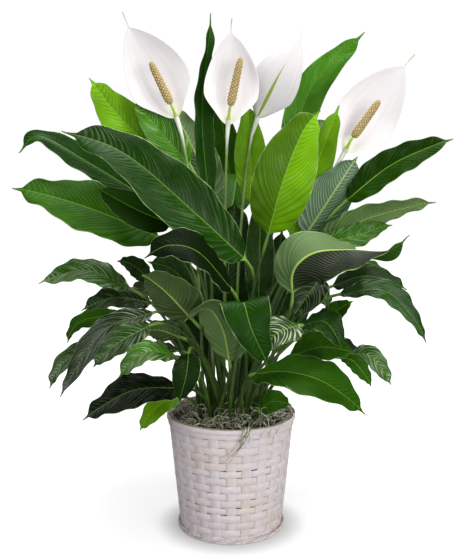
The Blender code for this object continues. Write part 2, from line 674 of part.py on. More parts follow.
def spadix_mesh(name, stem):
    """A blunt spike whose florets stand out in offset rows."""
    _, spadix = bloom_line(stem)
    rings = []
    ahead = unit(spadix[1] - spadix[0])
    side = unit(np.cross(ahead, [0, 1, 0]))
    normal = np.cross(side, ahead)
    for k in range(FLORET_ROWS + 1):
        f = k / FLORET_ROWS
        radius = SPADIX_RADIUS * (1 - 0.3 * f) * math.sqrt(max(0.08, 1 - (2 * f - 1) ** 6))
        ring = []
        for n in range(FLORETS_ROUND):
            bump = FLORET_RELIEF if (n + k) % 2 else -FLORET_RELIEF
            a = 2 * math.pi * n / FLORETS_ROUND
            out = math.cos(a) * side + math.sin(a) * normal
            ring.append(spadix[0] + (spadix[1] - spadix[0]) * f + out * (radius + bump))
        rings.append(ring)
    return loft(name, np.array(rings))


def spathe_mesh(name, stem):
    return loft(name, spathe_rings(stem, SPATHE_STATIONS, SPATHE_ACROSS), flat=True)


def join(name, things, group):
    """One Boolean union of the listed objects, applied."""
    base = things[0]
    cut = bpy.data.collections.new(name + "_pieces")
    bpy.context.scene.collection.children.link(cut)
    for other in things[1:]:
        cut.objects.link(other)
        group.objects.unlink(other)
    union = base.modifiers.new("Union", "BOOLEAN")
    union.operation = "UNION"
    union.operand_type = "COLLECTION"
    union.collection = cut
    for solver in ("EXACT", "MANIFOLD"):
        union.solver = solver
        if is_closed(base):
            break
    apply_modifiers(base)
    for other in list(cut.objects):
        bpy.data.objects.remove(other, do_unlink=True)
    bpy.data.collections.remove(cut)
    return base


def is_closed(thing):
    """Whether the evaluated mesh has faces, with two of them on every edge."""
    graph = bpy.context.evaluated_depsgraph_get()
    work = bmesh.new()
    work.from_mesh(thing.evaluated_get(graph).data)
    closed = len(work.faces) > 0 and all(len(edge.link_faces) == 2 for edge in work.edges)
    work.free()
    return closed


def apply_modifiers(thing):
    graph = bpy.context.evaluated_depsgraph_get()
    mesh = bpy.data.meshes.new_from_object(thing.evaluated_get(graph))
    thing.modifiers.clear()
    thing.data = mesh


def make_plant(group, materials):
    stems = lay_out()
    leaves = {}
    for stem in stems:
        row = stem.row
        if isinstance(row, Bloom):
            parts = (("stalk", stalk_mesh), ("spathe", spathe_mesh), ("spadix", spadix_mesh))
            for kind, maker in parts:
                name = "bloom_" + row.name + "_" + kind
                add_object(name, maker(name, stem), group, materials[kind])
            continue
        if row.name != "+":
            name = row.name
            leaves[name] = []
        part = name + "_" + str(len(leaves[name])) if leaves[name] else name
        thing = add_object(part, leaf_mesh(part, stem), group, materials[row.finish])
        leaves[name].append(thing)
    for name, things in leaves.items():
        if len(things) > 1:
            join(name, things, group)
    return stems


# Basket, pot, soil and moss

def turned(name, profile, steps, group, material):
    """A profile at +X, run down its outer side first, turned about Z."""
    mesh = bpy.data.meshes.new(name)
    work = bmesh.new()
    verts = [work.verts.new((radius, 0, height)) for radius, height in profile]
    for a, b in zip(verts, verts[1:] + verts[:1]):
        work.edges.new((a, b))
    work.to_mesh(mesh)
    work.free()
    thing = add_object(name, mesh, group, material)
    screw = thing.modifiers.new("Screw", "SCREW")
    screw.axis = "Z"
    screw.angle = 2 * math.pi
    screw.steps = steps
    screw.render_steps = steps
    screw.use_merge_vertices = True
    screw.merge_threshold = 0.00001
    apply_modifiers(thing)
    return thing


def wall_radius(height):
    """The basket's outer face, straight from foot to rim."""
    outer = BASKET_TOP_RADIUS - RIM_THICKNESS - GAP
    return BASKET_FOOT_RADIUS + (outer - BASKET_FOOT_RADIUS) * height / BASKET_HEIGHT


def make_basket(group, materials):
    low, high = FOOT_HEIGHT + 1.5 * MM, BASKET_HEIGHT - RIM_HEIGHT - 1.5 * MM
    woven = list(np.linspace(high, low, WEAVE_ROWS + 1))
    heights = [BASKET_HEIGHT - 0.5 * MM, high + MM] + woven + [low - MM, 0.0]
    outside = [(wall_radius(z), z) for z in heights]
    inside = [(wall_radius(0) - WALL, 0.0), (wall_radius(heights[0]) - WALL, heights[0])]
    weave = turned("basket_weave", outside + inside, 2 * STAKES, group, materials["splint"])
    for vert in weave.data.vertices:
        x, y, z = vert.co
        radius = math.hypot(x, y)
        if low - 0.5 * MM < z < high + 0.5 * MM and radius > wall_radius(z) - 0.5 * WALL:
            row = round((z - low) / (high - low) * WEAVE_ROWS)
            column = round(math.atan2(y, x) / (math.pi / STAKES))
            out = WEAVE_RELIEF if (row + column) % 2 else -WEAVE_RELIEF
            vert.co = (x * (1 + out / radius), y * (1 + out / radius), z)
    top, bottom = BASKET_HEIGHT, BASKET_HEIGHT - RIM_HEIGHT
    outer = BASKET_TOP_RADIUS
    rim = [(outer - 0.4 * MM, top), (outer, top - 2 * MM), (outer - 1.5 * MM, bottom),
           (wall_radius(bottom) + GAP, bottom), (wall_radius(top) + GAP, top)]
    turned("basket_rim", rim, 2 * STAKES, group, materials["band"])
    foot = [(wall_radius(FOOT_HEIGHT) + GAP, FOOT_HEIGHT), (wall_radius(0) + 2.6 * MM, 0.6 * FOOT_HEIGHT),
            (wall_radius(0) + 1.8 * MM, 0.0), (wall_radius(0) + GAP, 0.0)]
    turned("basket_foot", foot, 2 * STAKES, group, materials["band"])
    inner = wall_radius(0) - WALL - GAP
    disc = bpy.data.meshes.new("basket_base")
    work = bmesh.new()
    bmesh.ops.create_cone(work, cap_ends=True, segments=2 * STAKES, radius1=inner, radius2=inner, depth=BASE_THICKNESS)
    bmesh.ops.translate(work, verts=work.verts, vec=(0, 0, 0.5 * BASE_THICKNESS))
    work.to_mesh(disc)
    work.free()
    add_object("basket_base", disc, group, materials["board"])


def pot_radius(height):
    share = (height - POT_BOTTOM) / (POT_TOP - POT_BOTTOM)
    return POT_BOTTOM_RADIUS + (POT_TOP_RADIUS - POT_BOTTOM_RADIUS) * share


def make_pot(group, materials):
    floor = BASE_THICKNESS + GAP
    profile = [(pot_radius(POT_TOP), POT_TOP), (pot_radius(floor), floor), (1.0 * MM, floor),
               (1.0 * MM, floor + POT_WALL), (pot_radius(floor) - POT_WALL, floor + POT_WALL),
               (pot_radius(POT_TOP) - POT_WALL, POT_TOP)]
    turned("nursery_pot", profile, POT_SIDES, group, materials["pot"])


def hole_cutter(name, shoot):
    """A six-sided hole with flat sides along X, wide enough for all of a shoot's stems."""
    roots = np.array([stem.line[0] for stem in shoot])
    low, high = roots[:, 0].min(), roots[:, 0].max()
    radius = STALK_RADIUS if isinstance(shoot[0].row, Bloom) else PETIOLE_RADIUS
    corner = (radius + HOLE_CLEARANCE) / math.cos(math.pi / HOLE_SIDES)
    mesh = bpy.data.meshes.new(name)
    work = bmesh.new()
    bmesh.ops.create_cone(work, cap_ends=True, segments=HOLE_SIDES, radius1=corner, radius2=corner,
                          depth=2 * HOLE_DEPTH, matrix=Matrix.Rotation(math.pi / HOLE_SIDES, 4, "Z"))
    for vert in work.verts:
        vert.co.x += high if vert.co.x > 0 else low
        vert.co.y += roots[0, 1]
        vert.co.z += SOIL_TOP
    work.to_mesh(mesh)
    work.free()
    return bpy.data.objects.new(name, mesh)


def make_soil(stems, group, cutters, materials):
    """A plug of soil with a plain hole for each shoot."""
    low = BASE_THICKNESS + POT_WALL + 2 * GAP
    edge = pot_radius(SOIL_TOP) - POT_WALL - GAP
    mesh = bpy.data.meshes.new("soil")
    work = bmesh.new()
    bmesh.ops.create_cone(work, cap_ends=True, segments=POT_SIDES, radius1=pot_radius(low) - POT_WALL - GAP,
                          radius2=edge, depth=SOIL_TOP - low)
    bmesh.ops.translate(work, verts=work.verts, vec=(0, 0, 0.5 * (SOIL_TOP + low)))
    work.to_mesh(mesh)
    work.free()
    soil = add_object("soil", mesh, group, materials["soil"])
    shoots = []
    for stem in stems:
        if stem.second:
            shoots[-1].append(stem)
        else:
            shoots.append([stem])
    for k, shoot in enumerate(shoots):
        cutter = hole_cutter("hole_" + str(k), shoot)
        cutters.objects.link(cutter)
        cutter.hide_render = True
        cutter.display_type = "WIRE"
    cut = soil.modifiers.new("Holes", "BOOLEAN")
    cut.operation = "DIFFERENCE"
    cut.operand_type = "COLLECTION"
    cut.collection = cutters
    cut.solver = "EXACT"


def make_moss(group, materials):
    """A lumpy wreath of moss on the soil, inside the basket's rim."""
    bottom = SOIL_TOP + GAP
    profile = [(MOSS_OUTER - 3 * MM, bottom + MOSS_HEIGHT), (MOSS_OUTER - 2.2 * MM, bottom + 4 * MM),
               (MOSS_OUTER - 3.2 * MM, bottom), (MOSS_INNER, bottom), (MOSS_INNER + 4 * MM, bottom + 6 * MM)]
    moss = turned("moss", profile, MOSS_STEPS, group, materials["moss"])
    for vert in moss.data.vertices:
        x, y, z = vert.co
        if z > bottom + 5 * MM:
            around = math.atan2(y, x)
            vert.co.z = z + 1.6 * MM * math.sin(5 * around) + 1.4 * MM * math.sin(13 * around + 1)
    return moss


def main():
    clear_scene()
    group = make_collection("potted_peace_lily")
    cutters = make_collection("cutters")
    materials = {name: make_material(name) for name in COLOURS}
    make_basket(group, materials)
    make_pot(group, materials)
    stems = make_plant(group, materials)
    make_soil(stems, group, cutters, materials)
    make_moss(group, materials)


main()
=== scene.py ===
"""A potted peace lily in a whitewashed woven basket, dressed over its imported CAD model."""

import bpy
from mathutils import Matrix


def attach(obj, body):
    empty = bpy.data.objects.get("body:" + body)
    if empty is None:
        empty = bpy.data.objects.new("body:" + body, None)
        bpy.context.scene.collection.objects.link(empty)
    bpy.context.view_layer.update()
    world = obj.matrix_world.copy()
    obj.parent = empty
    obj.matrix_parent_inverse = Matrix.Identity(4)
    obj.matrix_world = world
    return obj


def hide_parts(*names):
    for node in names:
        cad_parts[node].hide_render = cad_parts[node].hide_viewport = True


bl_info = {
    "name": "Potted Peace Lily",
    "version": (1, 0, 0),
    "blender": (4, 5, 0),
    "location": "3D View > Sidebar > Peace Lily",
    "description": "Builds a flowering peace lily with its basket, moss and studio stage",
    "category": "Add Mesh",
}

import math
import random
from collections import namedtuple

import bmesh
import bpy
import numpy as np
from bpy.props import FloatProperty, FloatVectorProperty, IntProperty, PointerProperty
from mathutils import Vector, noise

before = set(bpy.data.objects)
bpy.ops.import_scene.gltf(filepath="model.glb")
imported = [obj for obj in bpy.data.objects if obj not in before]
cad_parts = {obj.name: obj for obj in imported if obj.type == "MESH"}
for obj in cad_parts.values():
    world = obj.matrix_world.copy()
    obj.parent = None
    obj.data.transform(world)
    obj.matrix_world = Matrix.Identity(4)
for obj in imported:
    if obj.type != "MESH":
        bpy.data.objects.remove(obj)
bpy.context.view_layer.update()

MM = 0.001
ROOT = "root"
UP = np.array([0.0, 0.0, 1.0])
FORWARD = np.array([0.0, -1.0, 0.0])


def linear(code):
    """An sRGB hex colour as linear red, green and blue."""
    values = [int(code[k:k + 2], 16) / 255 for k in (1, 3, 5)]
    return tuple(v / 12.92 if v <= 0.04045 else ((v + 0.055) / 1.055) ** 2.4 for v in values)


# Between pieces that touch.
GAP = 0.3 * MM

BASKET_HEIGHT = 163 * MM
BASKET_TOP_RADIUS = 90 * MM
BASKET_FOOT_RADIUS = 71 * MM
WALL = 2.4 * MM
STAKES = 24
WEAVE_ROWS = 13
RIM_HEIGHT = 14 * MM
RIM_THICKNESS = 2.2 * MM
FOOT_HEIGHT = 8 * MM
BASE_THICKNESS = 4 * MM

POT_TOP = 152 * MM
POT_BOTTOM = 12 * MM
POT_TOP_RADIUS = 82 * MM
POT_BOTTOM_RADIUS = 64 * MM
POT_WALL = 1.2 * MM

SOIL_TOP = 150 * MM
STEM_DEPTH = 22 * MM
CLUMP_RADIUS = 50 * MM
ROOT_ROW = 11 * MM
ROOT_PITCH = 17 * MM
FIRST_ROOT_ROW = -4

MOSS_INNER = 58 * MM
MOSS_OUTER = 83 * MM
MOSS_HEIGHT = 9 * MM

PETIOLE_RADIUS = 2.4 * MM
PETIOLE_NECK = 1.5 * MM
STALK_RADIUS = 2.3 * MM
SPADIX_RADIUS = 5.5 * MM
BLADE_THICKNESS = 0.8 * MM
MIDRIB_DEPTH = 1.4 * MM
SHOOT_OFFSET = 3.0 * MM
SHEATH_HEIGHT = 25 * MM
NECK_REACH = 45 * MM
ROOT_HOLD = 38 * MM

# The camera's place, and the cells its view is split into to bend the stems clear of each other.
EYE = np.array([0.0, -1.1, 0.5])
CELL = 3 * MM
CELLS_WIDE = 280
MIDDLE_CELL = (140, 180)
CLEARANCE = 1.6 * MM
BEND_SLOPE = 0.28
SAMPLES_ACROSS = 15
SAMPLES_ALONG = 70
SAMPLES_ON_SPADIX = 16
SAMPLES_MEET = 0.03

PETIOLE_STEPS = 33
BLADE_STEPS = 65
SPAN_STEPS = 24
RISE_STEPS = 80
RISE_SHARE = 0.42
NECK_SHARE = 0.32
# Stations run from -1 in the soil to 0 at a blade's base and 1 at its tip.  Up to this one the
# stem flattens into the blade.
FLAT_FROM = 0.07
SMALL_LEAF = 50
FILAMENT_START = 0.87
DRIP_START = 0.94
DRIP_HALF_WIDTH = 0.8 * MM
COLLAR_HALF_WIDTH = 4.2 * MM
SHARES_ROUND = np.linspace(0, 1, 5, endpoint=False)
SHARES_ALONG = np.linspace(0, 1, 24, endpoint=False)
LEAF_ACROSS = (-1, 0, 1)
SPATHE_ACROSS = (-1, -0.5, 0, 0.5, 1)
SPATHE_STATIONS = np.array([0.0, 0.05, 0.12, 0.23, 0.36, 0.49, 0.62, 0.75, 0.87, 1.0])

Leaf = namedtuple("Leaf", "name spine width face twist fold wave waves finish")
Bloom = namedtuple("Bloom", "name node spadix spine width face fold")

# Spines run from the blade's base to its tip, in mm from the basket's axis.
# A face is where the upper side looks at mid blade: degrees round from the
# front, towards the right, and degrees up.  A row named "+" grows from the
# same shoot as the row above it.
FRONT = [
    Leaf("leaf_front_middle", ((12, -65, 290), (15, -100, 332), (25, -128, 303), (46, -132, 259)),
         60, (10, 40), 0, 16, 2.0, 1.6, "glossy"),
    Leaf("leaf_front_arched", ((-2, -75, 250), (-10, -95, 296), (-28, -112, 326), (-58, -125, 316)),
         62, (150, 30), 10, 14, 2.0, 1.5, "under"),
    Leaf("leaf_front_low_right", ((30, -60, 230), (70, -95, 242), (115, -125, 236), (165, -140, 202)),
         84, (12, 66), 0, 14, 2.5, 2.0, "green"),
    Leaf("leaf_right_bottom", ((38, -50, 178), (55, -60, 193), (78, -68, 192)),
         34, (0, 40), 0, 16, 1.2, 1.2, "green"),
    Leaf("leaf_front_striped", ((87, -75, 298), (57, -105, 294), (37, -115, 271)),
         44, (-15, 35), 0, 16, 1.5, 1.5, "dark"),
    Leaf("leaf_front_right", ((89, -60, 294), (119, -85, 304), (140, -100, 274)),
         42, (10, 45), 0, 18, 1.5, 1.5, "glossy"),
    Leaf("+", ((118, -60, 302), (135, -70, 316), (153, -80, 330)),
         26, (10, 30), 0, 14, 1.0, 1.0, "green"),
    Leaf("leaf_front_hanging", ((-54, -80, 263), (-56, -105, 240), (-65, -112, 208)),
         36, (-10, 15), 0, 24, 1.0, 1.2, "dark"),
    Leaf("leaf_left_pale", ((-72, -60, 254), (-110, -80, 264), (-144, -90, 235)),
         38, (-15, 50), 0, 16, 1.2, 1.2, "green"),
    Leaf("leaf_left_low", ((-65, -55, 210), (-126, -90, 216), (-188, -105, 184)),
         64, (-5, 62), 0, 12, 2.5, 2.0, "dark"),
    Leaf("leaf_left_bottom", ((-69, -35, 191), (-95, -45, 184), (-123, -50, 151)),
         32, (-10, 45), 0, 14, 1.0, 1.0, "light"),
    Leaf("leaf_right_broad", ((79, -65, 337), (77, -80, 362), (85, -92, 381), (107, -100, 395),
                              (146, -106, 398), (190, -110, 397), (218, -112, 415)),
         84, (180, 30), -170, 26, 3.0, 3.0, "under"),
    Leaf("leaf_middle_under", ((-50, -65, 304), (-81, -80, 341), (-111, -78, 365)),
         74, (170, 40), 0, 12, 2.5, 1.5, "under"),
    Leaf("leaf_middle_arched", ((1, -50, 340), (-39, -90, 392), (-74, -110, 404), (-105, -120, 391)),
         64, (0, 50), 0, 14, 2.0, 2.0, "dark"),
    Leaf("leaf_left_middle", ((-105, -60, 295), (-144, -80, 276), (-177, -85, 247)),
         40, (-10, 45), 0, 16, 1.5, 1.5, "green"),
    Leaf("leaf_left_long", ((-100, -40, 309), (-165, -65, 288), (-223, -75, 204)),
         36, (-20, 35), 0, 20, 1.5, 2.0, "dark"),
    Leaf("leaf_upper_left", ((21, -50, 377), (-44, -75, 440), (-129, -95, 514), (-204, -100, 543)),
         88, (15, 40), 0, 14, 3.0, 2.2, "glossy"),
    Leaf("leaf_left_folded", ((-75, -50, 425), (-120, -70, 446), (-167, -80, 473)),
         46, (-20, 10), 0, 34, 1.5, 1.2, "dark"),
    Leaf("leaf_right_hanging", ((119, -45, 358), (98, -70, 336), (77, -85, 309)),
         42, (0, 25), 0, 20, 1.5, 1.2, "dark"),
    Leaf("leaf_right_lower", ((76, -35, 246), (116, -60, 266), (159, -70, 262)),
         56, (5, 50), 0, 14, 2.0, 1.5, "green"),
    Leaf("+", ((146, -35, 246), (163, -45, 243), (186, -55, 213)),
         26, (10, 45), 0, 16, 1.0, 1.0, "green"),
    Leaf("leaf_right_arch", ((143, -20, 329), (198, -40, 338), (231, -50, 310), (256, -60, 273)),
         40, (20, 50), 0, 20, 1.5, 2.0, "glossy"),
    Leaf("leaf_left_olive", ((-68, -50, 278), (-92, -65, 290), (-118, -70, 290)),
         40, (180, 30), 0, 12, 1.2, 1.2, "under"),
    Leaf("+", ((-62, -45, 256), (-95, -60, 268), (-128, -65, 269)),
         30, (0, 80), 0, 14, 1.0, 1.0, "dark"),
    Leaf("leaf_left_upper_small", ((-134, -20, 337), (-190, -40, 364), (-252, -45, 350)),
         52, (-5, 58), 0, 14, 2.2, 2.3, "green"),
    Leaf("leaf_left_wide", ((-94, -25, 406), (-158, -50, 437), (-214, -65, 458), (-273, -75, 474)),
         86, (-5, 45), 0, 14, 3.5, 2.6, "green"),
    Leaf("+", ((-110, 5, 455), (-190, -8, 505), (-249, -20, 538), (-276, -30, 518)),
         44, (-10, 35), 20, 16, 2.0, 2.0, "glossy"),
    Leaf("leaf_upright_light", ((49, -25, 409), (68, -45, 484), (93, -40, 545), (115, -35, 571)),
         80, (-5, 5), 0, 16, 2.5, 2.2, "light"),
    Leaf("leaf_right_tier", ((120, -35, 400), (163, -50, 411), (205, -60, 427)),
         40, (5, 45), 0, 14, 2.0, 1.8, "green"),
    Leaf("+", ((119, -20, 408), (186, -45, 436), (261, -55, 456)),
         46, (180, 45), 0, 14, 1.8, 2.0, "under"),
    Leaf("leaf_right_grey", ((134, -25, 341), (179, -40, 357), (230, -50, 342)),
         44, (0, 55), 0, 16, 1.5, 1.8, "dark"),
    Leaf("+", ((155, 5, 370), (189, 0, 367), (220, -5, 347)),
         26, (0, 75), 0, 14, 1.0, 1.0, "green"),
    Leaf("leaf_right_low_pale", ((163, -10, 246), (189, -25, 246), (217, -30, 208)),
         30, (5, 40), 0, 16, 1.2, 1.2, "under"),
    Leaf("leaf_right_dark", ((152, -5, 452), (212, -20, 502), (287, -30, 536)),
         50, (0, 40), 0, 16, 2.2, 2.0, "dark"),
    Leaf("leaf_right_under", ((100, 14, 403), (137, 12, 461), (169, 4, 513)),
         62, (180, 10), 0, 12, 2.0, 1.5, "under"),
    Leaf("+", ((38, 24, 300), (40, 28, 380), (40, 30, 470)),
         40, (0, 10), 0, 14, 1.5, 1.5, "dark"),
    Leaf("leaf_upright_right", ((80, 0, 403), (112, 0, 494), (144, 5, 580)),
         46, (0, 15), 0, 16, 2.0, 2.0, "light"),
    Leaf("leaf_left_inner", ((-107, -10, 316), (-155, -25, 326), (-200, -30, 311)),
         42, (0, 50), 0, 16, 1.5, 1.5, "green"),
    Leaf("+", ((-109, -10, 347), (-131, -20, 369), (-150, -25, 376)),
         30, (0, 40), 0, 16, 1.0, 1.0, "dark"),
    Leaf("leaf_left_outer", ((-150, 0, 262), (-222, -15, 240), (-249, -20, 200)),
         34, (-5, 40), 0, 16, 1.2, 1.5, "dark"),
    Leaf("+", ((-150, 0, 300), (-205, -10, 290), (-224, -15, 263)),
         30, (0, 50), 0, 14, 1.0, 1.0, "green"),
]
BLOOMS = [
    Bloom("left", (-72, 0, 563), ((-79, -7, 580), (-105, -9, 634)),
          ((-72, 2.5, 563), (-98, 12, 618), (-130, 2, 672), (-141, -4, 698)), 84, (-8, 5), 12),
    Bloom("right", (151, 0, 518), ((161, -7, 537), (195, -9, 585)),
          ((151, 2.5, 518), (183, 12, 570), (224, 2, 625), (241, -4, 645)), 84, (10, 8), 12),
    Bloom("middle", (-4, 8, 554), ((-1, 1, 578), (13, -1, 641)),
          ((-4, 10.5, 554), (1, 20, 612), (0, 10, 672), (1, 4, 692)), 74, (0, 5), 12),
    Bloom("turned", (36, 30, 565), ((40, 37, 584), (58, 39, 636)),
          ((36, 27.5, 565), (64, 18, 620), (91, 26, 666), (95, 32, 684)), 66, (172, 5), 12),
]
BACK = [
    Leaf("leaf_crown_left", ((-55, 10, 501), (-95, 5, 547), (-128, 0, 589)),
         46, (0, 20), 0, 18, 1.5, 1.5, "dark"),
    Leaf("+", ((-76, 25, 500), (-146, 25, 560), (-190, 20, 617)),
         62, (5, 15), 0, 14, 2.5, 2.0, "light"),
    Leaf("+", ((-30, 35, 446), (-40, 40, 560), (-34, 38, 640), (-25, 35, 703)),
         36, (25, 10), 30, 26, 2.0, 2.5, "dark"),
    Leaf("+", ((-43, 28, 314), (-81, 30, 356), (-115, 25, 368)),
         46, (0, 15), 0, 14, 1.5, 1.5, "dark"),
    Leaf("leaf_crown_middle", ((30, 15, 447), (26, 20, 521), (23, 20, 585)),
         46, (0, 10), 0, 18, 1.5, 1.8, "light"),
    Leaf("+", ((-8, 34, 278), (-4, 40, 350), (6, 44, 455)),
         84, (-5, 10), 0, 16, 2.0, 2.0, "dark"),
    Leaf("+", ((46, 36, 275), (60, 36, 341), (72, 36, 414)),
         44, (5, 10), 0, 14, 1.2, 1.5, "dark"),
    Leaf("leaf_crown_right", ((78, 50, 490), (110, 55, 604), (183, 50, 681)),
         48, (-5, 10), 15, 18, 4.0, 2.8, "green"),
    Leaf("leaf_back_right", ((70, 50, 440), (110, 100, 530), (150, 130, 570)),
         60, (170, 20), 0, 16, 2.5, 2.0, "light"),
    Leaf("+", ((60, 70, 420), (130, 130, 470), (190, 170, 450)),
         70, (150, 60), 0, 14, 2.5, 2.0, "green"),
    Leaf("leaf_back_left", ((-60, 80, 400), (-130, 140, 450), (-190, 185, 430)),
         72, (-150, 60), 0, 14, 2.5, 2.0, "glossy"),
    Leaf("+", ((-20, 60, 450), (-60, 100, 535), (-90, 130, 590)),
         60, (-170, 20), 0, 16, 2.5, 2.0, "green"),
    Leaf("leaf_back_low_right", ((48, 60, 235), (80, 64, 282), (116, 60, 330)),
         58, (5, 15), 0, 14, 1.5, 1.5, "dark"),
    Leaf("+", ((40, 70, 300), (110, 150, 325), (160, 210, 270)),
         76, (145, 60), 0, 14, 2.5, 2.0, "green"),
    Leaf("+", ((85, 50, 250), (150, 95, 250), (205, 130, 200)),
         56, (115, 60), 0, 14, 2.0, 1.8, "dark"),
    Leaf("+", ((20, 52, 184), (20, 56, 228), (22, 58, 285)),
         50, (0, 10), 0, 14, 1.2, 1.5, "dark"),
    Leaf("leaf_back_low_left", ((-30, 60, 212), (-60, 64, 262), (-84, 62, 316)),
         56, (0, 10), 0, 14, 1.5, 1.5, "dark"),
    Leaf("+", ((-40, 70, 300), (-110, 150, 325), (-165, 205, 270)),
         76, (-145, 60), 0, 14, 2.5, 2.0, "green"),
    Leaf("+", ((-90, 50, 255), (-165, 90, 267), (-225, 120, 215)),
         56, (-115, 60), 0, 14, 2.0, 1.8, "glossy"),
    Leaf("leaf_back_middle", ((0, 70, 430), (10, 150, 485), (15, 220, 450)),
         76, (175, 60), 0, 14, 2.5, 2.0, "green"),
    Leaf("+", ((0, 52, 470), (-8, 56, 535), (-18, 56, 590)),
         44, (0, 10), 0, 16, 1.5, 1.5, "green"),
    Leaf("leaf_back_low", ((0, 75, 260), (0, 160, 275), (-10, 225, 210)),
         78, (180, 60), 0, 14, 2.5, 2.0, "dark"),
]


# Curves and blades

def unit(vectors):
    """The vectors' directions, each of length 1."""
    return vectors / np.linalg.norm(vectors, axis=-1, keepdims=True)


def smooth_step(value):
    """From 0 to 1 with eased ends."""
    value = np.clip(value, 0.0, 1.0)
    return value * value * (3 - 2 * value)


def through(points, count):
    """Even steps along a smooth curve through the points."""
    points = np.array(points, float)
    ends = np.vstack([2 * points[0] - points[1], points, 2 * points[-1] - points[-2]])
    fine = []
    for a, b, c, d in zip(ends, ends[1:], ends[2:], ends[3:]):
        for f in np.linspace(0, 1, SPAN_STEPS, endpoint=False):
            fine.append(0.5 * (2 * b + (c - a) * f + (2 * a - 5 * b + 4 * c - d) * f * f
                               + (3 * b - a - 3 * c + d) * f ** 3))
    fine.append(points[-1])
    return even_steps(np.array(fine), count)


def even_steps(fine, count):
    """The same line in steps of one length."""
    length = np.concatenate([[0], np.cumsum(np.linalg.norm(np.diff(fine, axis=0), axis=1))])
    wanted = np.linspace(0, length[-1], count)
    return np.stack([np.interp(wanted, length, fine[:, k]) for k in range(3)], axis=1)


def rise(root, base, heading, count):
    """A stem that leaves the soil upright and meets the blade along its heading."""
    reach = np.linalg.norm(base - root)
    a = root + np.array([0, 0, RISE_SHARE * reach])
    b = base - heading * min(NECK_SHARE * reach, NECK_REACH)
    f = np.linspace(0, 1, RISE_STEPS)[:, None]
    fine = (1 - f) ** 3 * root + 3 * (1 - f) ** 2 * f * a + 3 * (1 - f) * f * f * b + f ** 3 * base
    return even_steps(fine, count)


def slide(points, depth):
    """Move points along Y by a depth, and along their line of sight from EYE."""
    away = points - EYE
    return EYE + away * (1 + depth / away[..., 1])[..., None]


def facing(face):
    """The direction of a face given in degrees."""
    around, up = math.radians(face[0]), math.radians(face[1])
    return np.array([math.sin(around) * math.cos(up), -math.cos(around) * math.cos(up), math.sin(up)])


class Stem:
    """The middle line of a leaf or bloom, with its frame, from soil to tip."""

    def __init__(self, row, root):
        self.row = row
        spine = np.array(row.spine, float) * MM
        blade = through(spine, BLADE_STEPS)
        heading = unit(blade[2] - blade[0])
        stem = rise(root, blade[0], heading, PETIOLE_STEPS)
        if isinstance(row, Bloom):
            self.stalk = rise(root, np.array(row.node, float) * MM, heading, PETIOLE_STEPS)
        self.at = np.concatenate([np.linspace(-1, 0, PETIOLE_STEPS), np.linspace(0, 1, BLADE_STEPS)[1:]])
        self.line = np.vstack([stem, blade[1:]])
        self.length = np.concatenate([[0], np.cumsum(np.linalg.norm(np.diff(self.line, axis=0), axis=1))])
        self.along = unit(np.gradient(self.line, axis=0))
        self.along[0] = UP
        self.normal = self.carry_normal(facing(row.face), math.radians(getattr(row, "twist", 0)))
        self.shift = np.zeros(len(self.at))

    def carry_normal(self, face, twist):
        """The upper side's direction, carried each way from mid blade without turning."""
        count = len(self.at)
        middle = PETIOLE_STEPS + BLADE_STEPS // 2
        normal = np.zeros((count, 3))
        start = face - self.along[middle] * np.dot(face, self.along[middle])
        normal[middle] = unit(start)
        for order in (range(middle + 1, count), range(middle - 1, -1, -1)):
            last = normal[middle]
            for k in order:
                last = unit(last - self.along[k] * np.dot(last, self.along[k]))
                normal[k] = last
        turn = twist * np.clip(self.at, 0, 1)[:, None]
        side = np.cross(self.along, normal)
        return normal * np.cos(turn) + side * np.sin(turn)

    def frame(self, stations):
        """Place, side and upper side's direction at each station."""
        def read(values):
            return np.stack([np.interp(stations, self.at, values[:, k]) for k in range(3)], axis=1)

        place = slide(read(self.line), np.interp(stations, self.at, self.shift))
        along = unit(read(self.along))
        normal = read(self.normal)
        normal = unit(normal - along * np.sum(along * normal, axis=1, keepdims=True))
        return place, np.cross(along, normal), normal


def leaf_half_width(row, t):
    """Widest before the middle, with a blunt shoulder and a thin drip tip.  The shape is divided
    by its highest value, so that the widest place is as wide as the row says."""
    body = np.clip(t / DRIP_START, 0, 1)
    shape = body ** 0.6 * (1 - body) ** 0.75 / (0.4444 ** 0.6 * 0.5556 ** 0.75)
    return np.maximum(0.5 * row.width * MM * shape, DRIP_HALF_WIDTH)


def spathe_half_width(row, t):
    """Widest nearer the foot, with a collar round the stalk and a thin drip tip."""
    body = np.clip(t / FILAMENT_START, 0, 1)
    shape = body ** 0.5 * (1 - body) ** 0.8 / (0.3846 ** 0.5 * 0.6154 ** 0.8)
    least = np.where(t < 0.1, COLLAR_HALF_WIDTH, 0.9 * MM)
    return np.maximum(0.5 * row.width * MM * shape, least)


def leaf_height(row, half, t, across):
    """How far the blade stands off the flat: fold, rolled margins and waves."""
    fold = math.sin(math.radians(row.fold)) * np.abs(across) * half
    roll = -0.16 * across ** 2 * half
    phase = np.where(across < 0, 1.9, 0.0) + len(row.name) + row.width
    ripple = np.sin(2 * math.pi * row.waves * t + phase) * np.sin(math.pi * np.clip(t, 0, 1))
    return fold + roll + row.wave * MM * ripple * np.abs(across) ** 1.5


def spathe_height(row, half, t, across):
    """How far the bract stands off the flat: cup, collar and waves."""
    cup = math.sin(math.radians(row.fold)) * across ** 2 * half
    collar = 3.2 * MM * across ** 2 * (1 - smooth_step(t / 0.12))
    ripple = 1.2 * MM * np.sin(9 * t + 2 * across) * across ** 2 * np.sin(math.pi * np.clip(t, 0, 1))
    return cup + collar + ripple


